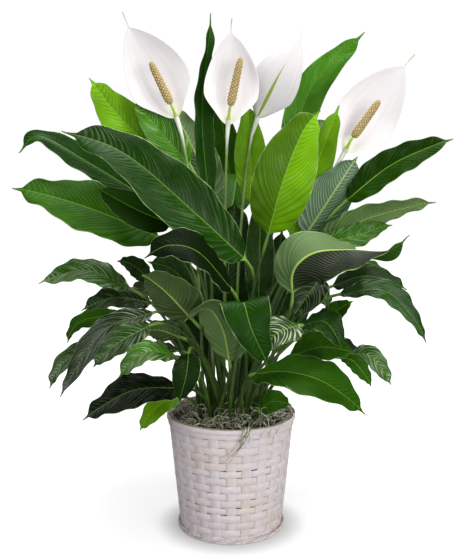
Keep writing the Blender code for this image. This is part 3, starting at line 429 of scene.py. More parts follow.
def blade_grid(stem, stations, across, half_width, height):
    """Points of the blade's middle surface, one row for each station."""
    place, side, normal = stem.frame(stations)
    half = half_width(stem.row, stations)
    points = []
    for u in across:
        spread = half * u * math.cos(math.radians(stem.row.fold) * 0.6)
        lift = height(stem.row, half, stations, np.full(len(stations), u))
        points.append(place + side * spread[:, None] + normal * lift[:, None])
    return np.stack(points, axis=1), normal, place, side


def round_angle(across, sign):
    """Where a place across the blade lies round its stem: over the stem, or under it."""
    return sign * math.radians(90 - 60 * across)


def leaf_rings(stem, stations, across):
    """Closed rings: round on the stem, then a blade with a keeled midrib."""
    middle, normal, place, side = blade_grid(stem, stations, across, leaf_half_width, leaf_height)
    t = np.clip(stations, 0, 1)
    keel = MIDRIB_DEPTH * (1 - t)
    radius = PETIOLE_NECK + (PETIOLE_RADIUS - PETIOLE_NECK) * np.clip(-stations, 0, 1)
    flat = smooth_step(stations / FLAT_FROM)[:, None]
    rings = []
    for sign, order in ((1, range(len(across))), (-1, range(len(across) - 1, -1, -1))):
        for k in order:
            u = across[k]
            angle = round_angle(u, sign)
            round_point = place + radius[:, None] * (math.cos(angle) * side + math.sin(angle) * normal)
            thick = np.full(len(stations), 0.5 * BLADE_THICKNESS)
            if sign < 0 and u == 0:
                thick = thick + keel
            flat_point = middle[:, k] + sign * normal * thick[:, None]
            rings.append(round_point * (1 - flat) + flat_point * flat)
    return np.stack(rings, axis=1)


def spathe_rings(stem, stations, across):
    """Closed rings: over the bract's front, then back along its rear side."""
    middle, normal, _, _ = blade_grid(stem, stations, across, spathe_half_width, spathe_height)
    top = middle + 0.5 * BLADE_THICKNESS * normal[:, None, :]
    bottom = middle - 0.5 * BLADE_THICKNESS * normal[:, None, :]
    return np.concatenate([top, bottom[:, ::-1]], axis=1)


# Bending clear

class Layers:
    """The foremost and rearmost surface met in each cell of the view from EYE."""

    def __init__(self):
        self.front = np.full((CELLS_WIDE, CELLS_WIDE), np.inf)
        self.back = np.full((CELLS_WIDE, CELLS_WIDE), -np.inf)

    def cells(self, points):
        """The view's cell that each point is seen in."""
        away = points - EYE
        spread = away / away[:, 1:2] * -EYE[1] / CELL
        column = np.clip((spread[:, 0] + MIDDLE_CELL[0]).astype(int), 1, CELLS_WIDE - 2)
        line = np.clip((spread[:, 2] + MIDDLE_CELL[1]).astype(int), 1, CELLS_WIDE - 2)
        return column, line

    def add(self, points):
        cells = self.cells(points)
        np.minimum.at(self.front, cells, points[:, 1])
        np.maximum.at(self.back, cells, points[:, 1])

    def needed(self, points, forward):
        """The shift along Y that brings each point clear, forward or back."""
        column, line = self.cells(points)
        worst = np.zeros(len(points))
        for i in (-1, 0, 1):
            for j in (-1, 0, 1):
                if forward:
                    limit = self.front[column + i, line + j] - CLEARANCE
                    worst = np.minimum(worst, limit - points[:, 1])
                else:
                    limit = self.back[column + i, line + j] + CLEARANCE
                    worst = np.maximum(worst, limit - points[:, 1])
        return worst


def spread_over(rings, stations):
    """Points all over the flat pieces between rings, with the station of each."""
    ahead = np.roll(rings, -1, axis=1)
    rings = np.concatenate([rings + (ahead - rings) * f for f in SHARES_ROUND], axis=1)
    points = [rings[:-1] + (rings[1:] - rings[:-1]) * f for f in SHARES_ALONG]
    places = [stations[:-1] + (stations[1:] - stations[:-1]) * f for f in SHARES_ALONG]
    places = [np.repeat(place, rings.shape[1]) for place in places]
    return np.concatenate(points).reshape(-1, 3), np.concatenate(places)


def sample_stem(stem, is_bloom):
    """Points all over a leaf or bloom, as a smooth form and as built, with their stations."""
    if is_bloom:
        width, height = spathe_half_width, spathe_height
        stations = SPATHE_STATIONS
        rings = spathe_rings(stem, stations, SPATHE_ACROSS)
    else:
        width, height = leaf_half_width, leaf_height
        stations = stations_for(stem.row)
        rings = leaf_rings(stem, stations, LEAF_ACROSS)
    built, built_stations = spread_over(rings, stations)
    across = np.linspace(-1, 1, SAMPLES_ACROSS)
    upper = np.linspace(SAMPLES_MEET, 1, SAMPLES_ALONG)
    blade = blade_grid(stem, upper, across, width, height)[0]
    lower = np.linspace(-1, SAMPLES_MEET, SAMPLES_ALONG)
    place, side, _ = stem.frame(lower)
    deep = np.array([0, PETIOLE_RADIUS, 0])
    across_rod = side * PETIOLE_RADIUS
    rod = np.stack([place - across_rod, place - deep, place + deep, place + across_rod], axis=1)
    points = np.concatenate([blade.reshape(-1, 3), rod.reshape(-1, 3), built])
    stations = [np.repeat(upper, SAMPLES_ACROSS), np.repeat(lower, rod.shape[1]), built_stations]
    stations = np.concatenate(stations)
    if is_bloom:
        spadix = np.array(stem.row.spadix, float) * MM
        run = np.linspace(0, 1, SAMPLES_ON_SPADIX)[:, None]
        core = spadix[0] * (1 - run) + spadix[1] * run
        edge = np.array([SPADIX_RADIUS, 0, 0])
        rod = [stem.stalk + edge / 2, stem.stalk - edge / 2]
        points = np.concatenate([points, core + edge, core - edge] + rod)
        on_spadix = np.full(2 * SAMPLES_ON_SPADIX, 0.5)
        stations = np.concatenate([stations, on_spadix] + 2 * [stem.at[:PETIOLE_STEPS]])
    return points, stations


def bend_clear(stem, layers, forward):
    """Shift the stem along Y, by no more than it needs, in one gentle bend."""
    is_bloom = isinstance(stem.row, Bloom)
    points, stations = sample_stem(stem, is_bloom)
    free = (points[:, 2] > SOIL_TOP + SHEATH_HEIGHT) | (np.hypot(points[:, 0], points[:, 1]) > MOSS_INNER)
    need = layers.needed(points[free], forward)
    span = np.interp(stations[free], stem.at, stem.length)
    if is_bloom:
        span = np.minimum(span, stem.length[PETIOLE_STEPS - 1])
    reach = np.minimum(stem.length, stem.length[PETIOLE_STEPS - 1]) if is_bloom else stem.length
    fall = BEND_SLOPE * np.abs(reach[:, None] - span[None, :])
    if forward:
        stem.shift = np.minimum(0, (need[None, :] + fall).min(axis=1))
    else:
        stem.shift = np.maximum(0, (need[None, :] - fall).max(axis=1))
    stem.shift *= smooth_step(stem.length / ROOT_HOLD)
    layers.add(slide(points, np.interp(stations, stem.at, stem.shift)))


def lean(row):
    """How far a stem slants to the right, from crown to blade."""
    x, _, z = row.spine[0]
    return x / (z - SOIL_TOP / MM)


def root_places(rows):
    """Crowns in rows across the pot, given out from front to back, left to right."""
    shoots = [row for row in rows if row.name != "+"]
    places = {}
    line = FIRST_ROOT_ROW
    while shoots:
        y = ROOT_ROW * line
        width = 2 * math.sqrt(CLUMP_RADIUS ** 2 - y ** 2)
        count = int(width / ROOT_PITCH) + 1
        owners = sorted(shoots[:count], key=lean)
        for k, row in enumerate(owners):
            x = width * ((k + 0.5) / len(owners) - 0.5) + (2 if line % 2 else -2) * MM
            places[row.name] = np.array([x, y, SOIL_TOP])
        shoots = shoots[count:]
        line += 1
    return places


def lay_out():
    """Every stem in its place, in order from front to back."""
    rows = FRONT + BLOOMS + BACK
    places = root_places(rows)
    stems = []
    for row in rows:
        if row.name == "+":
            number += 1 if row.spine[1][0] > 0 else -1
        else:
            root = places[row.name]
            number = 0
        stems.append(Stem(row, root + np.array([number * SHOOT_OFFSET, 0, 0])))
    layers = Layers()
    anchor = len(FRONT) + len(BLOOMS) // 2
    for stem in stems[anchor::-1]:
        bend_clear(stem, layers, True)
    for stem in stems[anchor + 1:]:
        bend_clear(stem, layers, False)
    return stems


def stations_for(row):
    """The stations of a leaf's rings as its solid has them."""
    if row.width < SMALL_LEAF:
        return np.array([-1.0, -0.6, -0.2, 0.0, 0.06, 0.2, 0.4, 0.6, 0.8, 0.93, 1.0])
    return np.array([-1.0, -0.62, -0.22, 0.0, 0.035, 0.09, 0.2, 0.33, 0.46, 0.59, 0.72, 0.84, 0.93, 1.0])


def buried(rings):
    """Add the straight end that stands in the soil."""
    foot = rings[0].copy()
    foot[:, 2] = SOIL_TOP - STEM_DEPTH
    return np.concatenate([foot[None], rings])


def tube_rings(line, along, normal, radii, sides):
    """Rings square to a line, carried on from the first normal without a twist."""
    turn = np.linspace(0, 2 * math.pi, sides, endpoint=False)
    rings = []
    for point, ahead, radius in zip(line, along, radii):
        normal = unit(normal - ahead * np.dot(normal, ahead))
        side = np.cross(ahead, normal)
        rings.append([point + radius * (math.cos(a) * normal + math.sin(a) * side) for a in turn])
    return np.array(rings)


def bloom_line(stem):
    """The stalk's middle line, from soil to spathe, and the two ends of the spadix."""
    node = stem.shift[PETIOLE_STEPS]
    stalk = slide(stem.stalk, stem.shift[:PETIOLE_STEPS])
    spadix = slide(np.array(stem.row.spadix, float) * MM, np.array([node, node]))
    return stalk, spadix


# Sizes and colours that a user would change

def size(name, text, value, low, high):
    """A length, given in millimetres."""
    return FloatProperty(name=name, description=text, default=value * MM, min=low * MM, max=high * MM,
                         subtype="DISTANCE", unit="LENGTH")


def amount(name, text, value, low, high):
    return IntProperty(name=name, description=text, default=value, min=low, max=high)


def colour(name, text, code):
    return FloatVectorProperty(name=name, description=text, default=linear(code), size=3,
                               min=0.0, max=1.0, subtype="COLOR")


class PlantSizes(bpy.types.PropertyGroup):
    vein_spacing: size("Vein spacing", "Distance between side veins along a midrib", 8, 3, 20)
    vein_relief: size("Vein relief", "Height of the pleats between side veins", 0.75, 0, 1.5)
    margin_ruffle: size("Margin ruffle", "Height of the small waves along a margin", 1.5, 0, 4)
    tip_curl: size("Tip curl", "How far a drip tip turns down", 3, 0, 10)
    floret_relief: size("Floret relief", "How far a floret stands out of the spadix", 1.2, 0, 1.5)
    floret_rows: amount("Floret rows", "Rows of florets along a spadix", 28, 8, 40)
    florets_round: amount("Florets round", "Florets round a spadix", 12, 6, 24)


class BasketSizes(bpy.types.PropertyGroup):
    splint: size("Splint thickness", "Thickness of a woven splint", 0.7, 0.4, 2)
    stake_width: size("Stake width", "Width of an upright splint", 13.5, 4, 17)
    weave_depth: size("Weave depth", "How far a splint swings in and out", 0.42, 0.4, 2)
    row_gap: size("Row gap", "Mean gap between two woven rows", 0.55, 0, 3)
    twist: size("Foot twist", "Length of one turn of the foot's twisted strips", 26, 8, 60)


class MossSizes(bpy.types.PropertyGroup):
    strands: amount("Strands", "Strands of moss on the soil", 400, 50, 3000)
    tuft: amount("Tuft", "Strands that hang over the front rim", 15, 0, 200)
    radius: size("Strand radius", "Half the thickness of a strand", 0.37, 0.1, 1)


class PlantColours(bpy.types.PropertyGroup):
    glossy: colour("Glossy leaf", "Upper side of a deep green, wet-looking leaf", "#1b4207")
    dark: colour("Dark leaf", "Upper side of an older, blue-green leaf", "#1c3a0a")
    green: colour("Green leaf", "Upper side of a full-grown leaf", "#2c5906")
    light: colour("Young leaf", "Upper side of a young yellow-green leaf", "#659a04")
    olive: colour("Olive underside", "Underside of a dark leaf", "#3c5226")
    sage: colour("Sage underside", "Underside of a full-grown leaf", "#4f6a3a")
    silver: colour("Silvery underside", "Underside of a leaf with a blue-grey bloom", "#5c7a5e")
    # The margin's pale colour is a painted highlight where a leaf's edge catches the light.
    margin: colour("Leaf margin", "The thin pale edge of a leaf", "#88a860")
    stem: colour("Stem", "Leaf stems and flower stalks", "#2f480c")
    spathe: colour("Spathe", "The white bract", "#e5e1e3")
    spadix: colour("Spadix", "The florets' tops", "#b8a26c")
    splint: colour("Splint", "Whitewash on the basket's splints", "#eae0e5")
    wood: colour("Bare wood", "Chipwood where the whitewash is thin", "#d9c3ab")
    moss: colour("Moss", "Dry curly moss", "#c6c9ae")
    soil: colour("Soil", "Damp potting mix", "#2e241c")
    pot: colour("Pot", "The nursery pot's plastic", "#191715")


# Materials

# Settings that many nodes share: eased ends of a range, and a mix of colours.
EASED = {"interpolation_type": "SMOOTHSTEP"}
COLOURS = {"data_type": "RGBA"}


def fill(tree, node, inputs):
    """Give a node's inputs their values, or link them: to a socket, or to a node's shown output."""
    for key, value in inputs.items():
        if isinstance(value, bpy.types.Node):
            value = next(socket for socket in value.outputs if socket.enabled)
        if isinstance(value, bpy.types.NodeSocket):
            tree.links.new(value, node.inputs[key])
        elif node.inputs[key].type == "RGBA":
            node.inputs[key].default_value = (*value[:3], 1.0)
        else:
            node.inputs[key].default_value = value


def add_node(tree, kind, inputs=(), **settings):
    """One node, with its settings and its inputs, named or numbered, or listed in their order."""
    made = tree.nodes.new(kind)
    for key, value in settings.items():
        setattr(made, key, value)
    fill(tree, made, inputs if isinstance(inputs, dict) else dict(enumerate(inputs)))
    return made


def start_material(name):
    """A new material, with its tree, its shader and the place of each point on the object."""
    made = bpy.data.materials.new(name)
    made.use_nodes = True
    tree = made.node_tree
    place = add_node(tree, "ShaderNodeTexCoord").outputs["Object"]
    return made, tree, tree.nodes["Principled BSDF"], place


def surface_numbers(tree):
    """The piece's own texture corners, whole, along and across."""
    uv = add_node(tree, "ShaderNodeUVMap", uv_map="surface")
    part = add_node(tree, "ShaderNodeSeparateXYZ", [uv])
    return uv, part.outputs[0], part.outputs[1]


def painted(tree, below, value, limits, strengths, tint, **ease):
    """Lay a tint over what is below.  Its strength goes from the first to the second as the
    value goes between its limits."""
    share = add_node(tree, "ShaderNodeMapRange", [value, *limits, *strengths], **ease)
    return add_node(tree, "ShaderNodeMix", {0: share, 6: below, 7: tint}, **COLOURS)


def finish(tree, shader, body, height, strength, distance, values, **settings):
    """Give the shader its colour, a bump from a pattern's height, and its own values.  The
    bump's distance is in millimetres."""
    raised = {"Height": height, "Strength": strength, "Distance": distance * MM}
    bump = add_node(tree, "ShaderNodeBump", raised, **settings)
    fill(tree, shader, {"Base Color": body, "Normal": bump, **values})


def dim(rgb, share):
    """A colour made darker, or brighter with a share over 1."""
    return tuple(v * share for v in rgb[:3])


def blend(first, second, share):
    """A colour between two, by the second one's share."""
    return tuple(a * (1 - share) + b * share for a, b in zip(first[:3], second[:3]))


def leaf_colour(tree, place, across, base, low, shade):
    """Soft mottling of a leaf's green.  shade is how bright the halves beside the midrib are painted: a
    painted light and shade where one half faces the light and the other turns away.
    """
    mottle = add_node(tree, "ShaderNodeTexNoise", {"Vector": place, "Scale": 24.0, "Detail": 3.0})
    patch = add_node(tree, "ShaderNodeMapRange", [mottle, 0.35, 0.65, 0.0, 1.0])
    halves = []
    for share in shade:
        tones = {0: patch, 6: dim(base, low * share), 7: dim(base, share)}
        halves.append(add_node(tree, "ShaderNodeMix", tones, **COLOURS))
    beside = add_node(tree, "ShaderNodeMapRange", [across, -1.5, 1.5, 0.0, 1.0], **EASED)
    return add_node(tree, "ShaderNodeMix", {0: beside, 6: halves[0], 7: halves[1]}, **COLOURS), patch


def vein_wave(tree, along, operation, turns):
    """A wave that repeats with the side veins, which lie at the whole numbers."""
    turn = add_node(tree, "ShaderNodeMath", [along, turns * math.pi], operation="MULTIPLY")
    return add_node(tree, "ShaderNodeMath", [turn], operation=operation)


def vein_line(tree, along, below, share, power):
    """Thin darker lines along the side veins."""
    near = add_node(tree, "ShaderNodeMath", [vein_wave(tree, along, "COSINE", 1)], operation="ABSOLUTE")
    vein = add_node(tree, "ShaderNodeMath", [near, power], operation="POWER")
    return add_node(tree, "ShaderNodeMix", {0: vein, 6: below, 7: (share, share, share)}, **COLOURS,
                    blend_type="MULTIPLY")


def midrib_line(tree, across, below, tint, inner, outer):
    """The midrib's pale line, from inner to outer in widths of the rib."""
    off = add_node(tree, "ShaderNodeMath", [across], operation="ABSOLUTE")
    return painted(tree, below, off, (inner, outer), (1.0, 0.0), tint, **EASED)


def leaf_upper(name, base, roughness, gloss, shade, stripe):
    """A leaf's waxy upper side: smooth cuticle over pleats, with pale bars of painted sheen between
    the side veins where the pleats would catch the light, and halves beside the midrib painted
    lighter and darker by shade, a painted light and shade; the midrib is a thin pale line."""
    made, tree, shader, place = start_material(name)
    uv, along, across = surface_numbers(tree)
    body, patch = leaf_colour(tree, place, across, base, 0.72, shade)
    # Uneven pale bars of painted sheen along the side veins: close together across them, long along them.
    drawn = add_node(tree, "ShaderNodeMapping", {0: uv, 3: (1.9, 0.035, 1.0)})
    bars = add_node(tree, "ShaderNodeTexNoise", {"Vector": drawn, "Scale": 1.0, "Detail": 1.0})
    folds = add_node(tree, "ShaderNodeMath", [vein_wave(tree, along, "SINE", 2), 0.12, bars],
                     operation="MULTIPLY_ADD")
    barred = add_node(tree, "ShaderNodeMapRange", [folds, 0.48, 0.70, 0.0, stripe], **EASED)
    uneven = add_node(tree, "ShaderNodeMapRange", {0: patch, 3: stripe, 4: 1.0})
    sheen = add_node(tree, "ShaderNodeMath", [barred, uneven], operation="MULTIPLY")
    striped = add_node(tree, "ShaderNodeMix", {0: sheen, 6: body, 7: linear("#b9c4a6")}, **COLOURS)
    veined = vein_line(tree, along, striped, 0.7, 7.0)
    ribbed = midrib_line(tree, across, veined, blend(base, linear("#8fb848"), 0.3), 0.45, 1.0)
    fine = add_node(tree, "ShaderNodeTexNoise", {"Vector": place, "Scale": 160.0, "Detail": 4.0})
    rough = add_node(tree, "ShaderNodeMapRange", [fine, 0.3, 0.7, roughness - 0.05, roughness + 0.09])
    height = add_node(tree, "ShaderNodeMath", [vein_wave(tree, along, "SINE", 8), 0.35, fine],
                      operation="MULTIPLY_ADD")
    finish(tree, shader, ribbed, height, 0.2, 0.1, {"Roughness": rough, "Specular IOR Level": gloss})
    return made


def leaf_under(name, base, shade, lines):
    """A leaf's matt underside: paler, with a raised pale midrib and thin raised side veins.
    Its halves beside the midrib are painted lighter and darker by shade: painted light and shade.
    """
    made, tree, shader, place = start_material(name)
    _, along, across = surface_numbers(tree)
    body, _ = leaf_colour(tree, place, across, base, 0.8, shade)
    lined = painted(tree, body, vein_wave(tree, along, "SINE", 2), (0.3, 0.95), (0.0, lines),
                    blend(base, linear("#b9cc94"), 0.6), **EASED)
    veined = vein_line(tree, along, lined, 0.9 - lines, 9.0)
    ribbed = midrib_line(tree, across, veined, blend(base, linear("#a9c65a"), 0.65), 0.9, 1.7)
    fine = add_node(tree, "ShaderNodeTexNoise", {"Vector": place, "Scale": 320.0, "Detail": 3.0})
    finish(tree, shader, ribbed, fine, 0.3, 0.1, {"Roughness": 0.52, "Specular IOR Level": 0.2})
    return made


def leaf_margin(name, base):
    """The thin edge of a leaf: a slightly horny rim painted pale, a painted highlight where it catches the
    light.
    """
    made, tree, shader, place = start_material(name)
    # Noise decides where the rim shows its painted highlight and where it stays dark.
    worn = add_node(tree, "ShaderNodeTexNoise", {"Vector": place, "Scale": 60.0, "Detail": 2.0})
    body = painted(tree, dim(base, 0.3), worn, (0.4, 0.65), (0.0, 1.0), base)
    fill(tree, shader, {"Base Color": body, "Roughness": 0.4, "Specular IOR Level": 0.4})
    return made


def leaf_stem(name, base, tip, reach):
    """A fleshy leaf stem or flower stalk: smooth and damp-looking, streaked along its length with pale
    streaks that are partly its own and partly painted highlights, painted darker in the crown as a
    painted shade, and paler at the top."""
    made, tree, shader, place = start_material(name)
    _, along, _ = surface_numbers(tree)
    # Streaks along the stem: its own faint striping, with the pale ones brightened into painted highlights.
    drawn = add_node(tree, "ShaderNodeMapping", {0: place, 3: (1.0, 1.0, 0.12)})
    streak = add_node(tree, "ShaderNodeTexNoise", {"Vector": drawn, "Scale": 420.0, "Detail": 2.0})
    body = add_node(tree, "ShaderNodeMix", {0: streak, 6: dim(base, 0.45), 7: dim(base, 2.1)}, **COLOURS)
    # Painted shade: the stem is painted darker near its foot, down in the crown.
    shaded = painted(tree, body, along, (-1.0, -0.55), (0.55, 0.0), dim(base, 0.35))
    paled = painted(tree, shaded, along, (-reach, -0.5 * reach), (0.0, 0.9), tip, **EASED)
    finish(tree, shader, paled, streak, 0.3, 0.1, {"Roughness": 0.38})
    return made


def spathe_bract(name, base, back):
    """A spathe is a white leaf: satin and slightly waxy, with faint veins that run to the tip.
    Its foot and drip tip are tinged green, and its back has a green midrib that fades out
    beyond the middle."""
    made, tree, shader, _ = start_material(name)
    uv, along, across = surface_numbers(tree)
    lines = add_node(tree, "ShaderNodeMapping", {0: uv, 3: (0.5, 2.4, 1.0)})
    streak = add_node(tree, "ShaderNodeTexNoise", {"Vector": lines, "Scale": 2.6, "Detail": 3.0})
    body = add_node(tree, "ShaderNodeMix", {0: streak, 6: dim(base, 0.82), 7: dim(base, 1.08)}, **COLOURS)
    body = painted(tree, body, along, (0.02, 0.16), (0.55, 0.0), linear("#dfe3c8"), **EASED)
    body = painted(tree, body, along, (0.88, 0.99), (0.0, 0.8), linear("#b9c793"), **EASED)
    if back:
        off = add_node(tree, "ShaderNodeMath", [across], operation="ABSOLUTE")
        reach = add_node(tree, "ShaderNodeMapRange", [along, 0.0, 0.62, 0.42, 0.0])
        inside = add_node(tree, "ShaderNodeMath", [reach, off], operation="SUBTRACT")
        body = painted(tree, body, inside, (-0.05, 0.06), (0.0, 1.0), linear("#7d9526"), **EASED)
    finish(tree, shader, body, streak, 0.35, 0.3,
           {"Roughness": 0.5, "Specular IOR Level": 0.35, "Subsurface Weight": 0.3,
            "Subsurface Radius": (0.004, 0.004, 0.003)})
    return made


def spadix_florets(name, base):
    """Packed dry florets: matt and cream, brighter on their tops and darker in the gaps between them."""
    made, tree, shader, place = start_material(name)
    _, along, lift = surface_numbers(tree)
    body = painted(tree, dim(base, 0.52), lift, (0.12, 0.72), (0.0, 1.0), dim(base, 1.12), **EASED)
    footed = painted(tree, body, along, (0.0, 0.25), (0.35, 0.0), linear("#a7a13e"))
    grit = add_node(tree, "ShaderNodeTexNoise", {"Vector": place, "Scale": 1600.0, "Detail": 2.0})
    finish(tree, shader, footed, grit, 0.4, 0.15, {"Roughness": 0.72})
    return made


def whitewashed_chipwood(name, wash, wood, worn):
    """Thin sliced poplar brushed with thin chalky paint: matt, with grain streaks along each
    strip and warm wood where the paint is thin."""
    made, tree, shader, place = start_material(name)
    uv = add_node(tree, "ShaderNodeUVMap", uv_map="surface")
    # UV units are centimetres along and across the strip: grain 0.6 mm wide, 20 mm long.
    long = add_node(tree, "ShaderNodeMapping", {0: uv, 3: (0.5, 16.0, 1.0)})
    grain = add_node(tree, "ShaderNodeTexNoise", {"Vector": long, "Scale": 1.0, "Detail": 4.0})
    brushed = add_node(tree, "ShaderNodeMapping", {0: uv, 3: (0.35, 0.8, 1.0)})
    cover = add_node(tree, "ShaderNodeTexNoise", {"Vector": brushed, "Scale": 0.9, "Detail": 3.0})
    broad = add_node(tree, "ShaderNodeTexNoise", {"Vector": place, "Scale": 16.0, "Detail": 1.0})
    both = add_node(tree, "ShaderNodeMath", [cover, 0.35, broad], operation="MULTIPLY_ADD")
    # Brush marks 2 mm wide leave the paint thicker and thinner.
    strokes = add_node(tree, "ShaderNodeMapping", {0: uv, 3: (1.4, 5.0, 1.0)})
    dabs = add_node(tree, "ShaderNodeTexNoise", {"Vector": strokes, "Scale": 1.0, "Detail": 2.0})
    streaks = add_node(tree, "ShaderNodeMix", {0: grain, 6: dim(wash, 0.7), 7: wash}, **COLOURS)
    paint = painted(tree, dim(blend(wash, wood, 0.12), 0.76), dabs, (0.35, 0.65), (0.0, 1.0), streaks)
    timber = add_node(tree, "ShaderNodeMix", {0: grain, 6: dim(wood, 0.8), 7: wood}, **COLOURS)
    mixed = painted(tree, paint, both, (0.64, 0.9), (0.0, worn), timber, **EASED)
    # Splits along the grain show as fine dark lines.
    lined = painted(tree, mixed, grain, (0.66, 0.72), (0.0, 0.65), dim(wood, 0.25))
    finish(tree, shader, lined, grain, 0.5, 0.2, {"Roughness": 0.7, "Specular IOR Level": 0.3})
    return made


def plain_poplar_board(name, wood):
    """A sawn poplar disc, dry and unpainted: long soft grain along X."""
    made, tree, shader, place = start_material(name)
    drawn = add_node(tree, "ShaderNodeMapping", {0: place, 3: (0.08, 1.0, 1.0)})
    grain = add_node(tree, "ShaderNodeTexNoise", {"Vector": drawn, "Scale": 700.0, "Detail": 4.0})
    body = add_node(tree, "ShaderNodeMix", {0: grain, 6: dim(wood, 0.6), 7: wood}, **COLOURS)
    finish(tree, shader, body, grain, 0.4, 0.3, {"Roughness": 0.8})
    return made


def moulded_polypropylene(name, base):
    """Thin black moulded plastic: a low even sheen, with a faint orange-peel skin and dust."""
    made, tree, shader, place = start_material(name)
    peel = add_node(tree, "ShaderNodeTexNoise", {"Vector": place, "Scale": 900.0, "Detail": 1.0})
    dust = add_node(tree, "ShaderNodeTexNoise", {"Vector": place, "Scale": 60.0, "Detail": 4.0})
    tones = {0: dust, 6: base, 7: blend(base, linear("#6b5a48"), 0.25)}
    body = add_node(tree, "ShaderNodeMix", tones, **COLOURS)
    finish(tree, shader, body, peel, 0.2, 0.1, {"Roughness": 0.45})
    return made


def potting_mix(name, base):
    """Damp peat and bark: rough dark brown crumbs about 2.4 mm wide, some of them paler."""
    made, tree, shader, place = start_material(name)
    crumb = add_node(tree, "ShaderNodeTexVoronoi", {"Vector": place, "Scale": 420.0})
    tones = {0: crumb.outputs["Color"], 6: dim(base, 0.45), 7: blend(base, linear("#8a7052"), 0.35)}
    body = add_node(tree, "ShaderNodeMix", tones, **COLOURS)
    finish(tree, shader, body, crumb.outputs["Distance"], 1.0, 1.0, {"Roughness": 0.9}, invert=True)
    return made


def dry_moss(name, base, low, high):
    """Dry curly moss: matt fibres, mottled brown and pale every 5 mm or so along a strand."""
    made, tree, shader, place = start_material(name)
    tuft = add_node(tree, "ShaderNodeTexNoise", {"Vector": place, "Scale": 210.0, "Detail": 3.0})
    brown = blend(dim(base, low), linear("#4a3828"), 0.5)
    body = painted(tree, brown, tuft, (0.38, 0.62), (0.0, 1.0), dim(base, high))
    finish(tree, shader, body, tuft, 0.8, 1.0, {"Roughness": 0.9})
    return made


# Meshes

class Skin:
    """Grids of points gathered into one mesh, with texture corners and material slots."""

    def __init__(self):
        self.points = []
        self.faces = []
        self.corners = []
        self.slots = []
        self.count = 0

    def add(self, grid, corners, slots=0, caps=True):
        """Add closed rings.  corners has one column more than the rings, or is ready for each face."""
        rows, columns = grid.shape[:2]
        number = np.arange(rows * columns).reshape(rows, columns) + self.count
        number = np.hstack([number, number[:, :1]])
        quads = corner_grid(number)
        if corners.ndim == 3:
            corners = corner_grid(corners)
        self.points.append(grid.reshape(-1, 3))
        self.faces += quads.reshape(-1, 4).tolist()
        self.corners.append(corners.reshape(-1, 2))
        self.slots += np.broadcast_to(slots, quads.shape[:2]).ravel().tolist()
        if caps:
            for ring, row in ((number[0, :-1], 0), (number[-1, :-1], -1)):
                self.faces.append(ring.tolist())
                self.corners.append(np.repeat(corners[row, 0, :1], columns, axis=0))
                self.slots.append(self.slots[-1] if row else self.slots[0])
        self.count += rows * columns

    def add_hoop(self, rings, corners, slot):
        """Add a splint that closes on itself."""
        rings[-1] = rings[0]
        self.add(rings, corners, slot, caps=False)

    def build(self, name, materials):
        """Make the piece."""
        mesh = bpy.data.meshes.new(name)
        mesh.from_pydata(np.concatenate(self.points).tolist(), [], self.faces)
        layer = mesh.uv_layers.new(name="surface")
        layer.data.foreach_set("uv", np.concatenate(self.corners).ravel())
        mesh.polygons.foreach_set("material_index", self.slots)
        for material in materials:
            mesh.materials.append(material)
        work = bmesh.new()
        work.from_mesh(mesh)
        bmesh.ops.recalc_face_normals(work, faces=work.faces)
        work.to_mesh(mesh)
        work.free()
        mesh.shade_smooth()
        piece = bpy.data.objects.new(name, mesh)
        bpy.context.scene.collection.objects.link(piece)
        return piece


def corner_grid(grid):
    """The four corners of each face between the rows and columns of a grid."""
    return np.stack([grid[:-1, :-1], grid[:-1, 1:], grid[1:, 1:], grid[1:, :-1]], axis=2)


def corners_of(along, across):
    """Texture corners from the numbers along and across, for all rows and columns."""
    return np.stack(np.broadcast_arrays(along, across), axis=-1)


def plain_corners(rows, columns):
    return corners_of(np.linspace(0, 1, columns + 1), np.linspace(0, 1, rows)[:, None])


def there_and_back(count):
    """Column numbers over the upper side, back along the underside and round to the first."""
    return [*range(count), *range(count - 1, -1, -1), 0]


def stand_in(piece, slot, *nodes):
    """Put a finished piece in the place of its CAD nodes."""
    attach(piece, ROOT)
    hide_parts(*nodes)


# Leaves

VEINS_LEAST = 7
ROWS_A_VEIN = 4
STEM_ROWS = 18
BESIDE_MIDRIB = np.array([1.3, 3.2]) * MM
MARGIN_START = 0.975
PETIOLE_SWELL = 1.15
STEM_PART_ENDS = 0.03
FOOT_AT = -1.1


def bell(x, middle, width):
    """A smooth rise to 1 at the middle."""
    return np.exp(-((x - middle) / width) ** 2)


def shoulder(widest, t):
    """The extra half width that eases a blade's shoulders into its drip tip."""
    return 0.14 * widest * smooth_step((1 - t) / 0.12) * smooth_step((t - 0.78) / 0.12)


def vein_columns(half, small):
    """Places across a blade from margin to margin, closer together beside the midrib."""
    inner = BESIDE_MIDRIB / half
    outer = np.linspace(inner[-1], MARGIN_START, 7 if small else 9)[1:]
    right = np.concatenate([inner, outer, [1.0]])
    return np.concatenate([-right[::-1], [0.0], right])


def petiole_radius(t):
    """A leaf stem is thinnest at its neck, with a knee just below it and a sheath at its foot."""
    s = np.clip(-t, 0, 1)
    radius = PETIOLE_SWELL * (PETIOLE_NECK + (PETIOLE_RADIUS - PETIOLE_NECK) * s)
    return radius + 0.55 * MM * bell(s, 0.05, 0.045) + 0.8 * MM * smooth_step((s - 0.86) / 0.14)


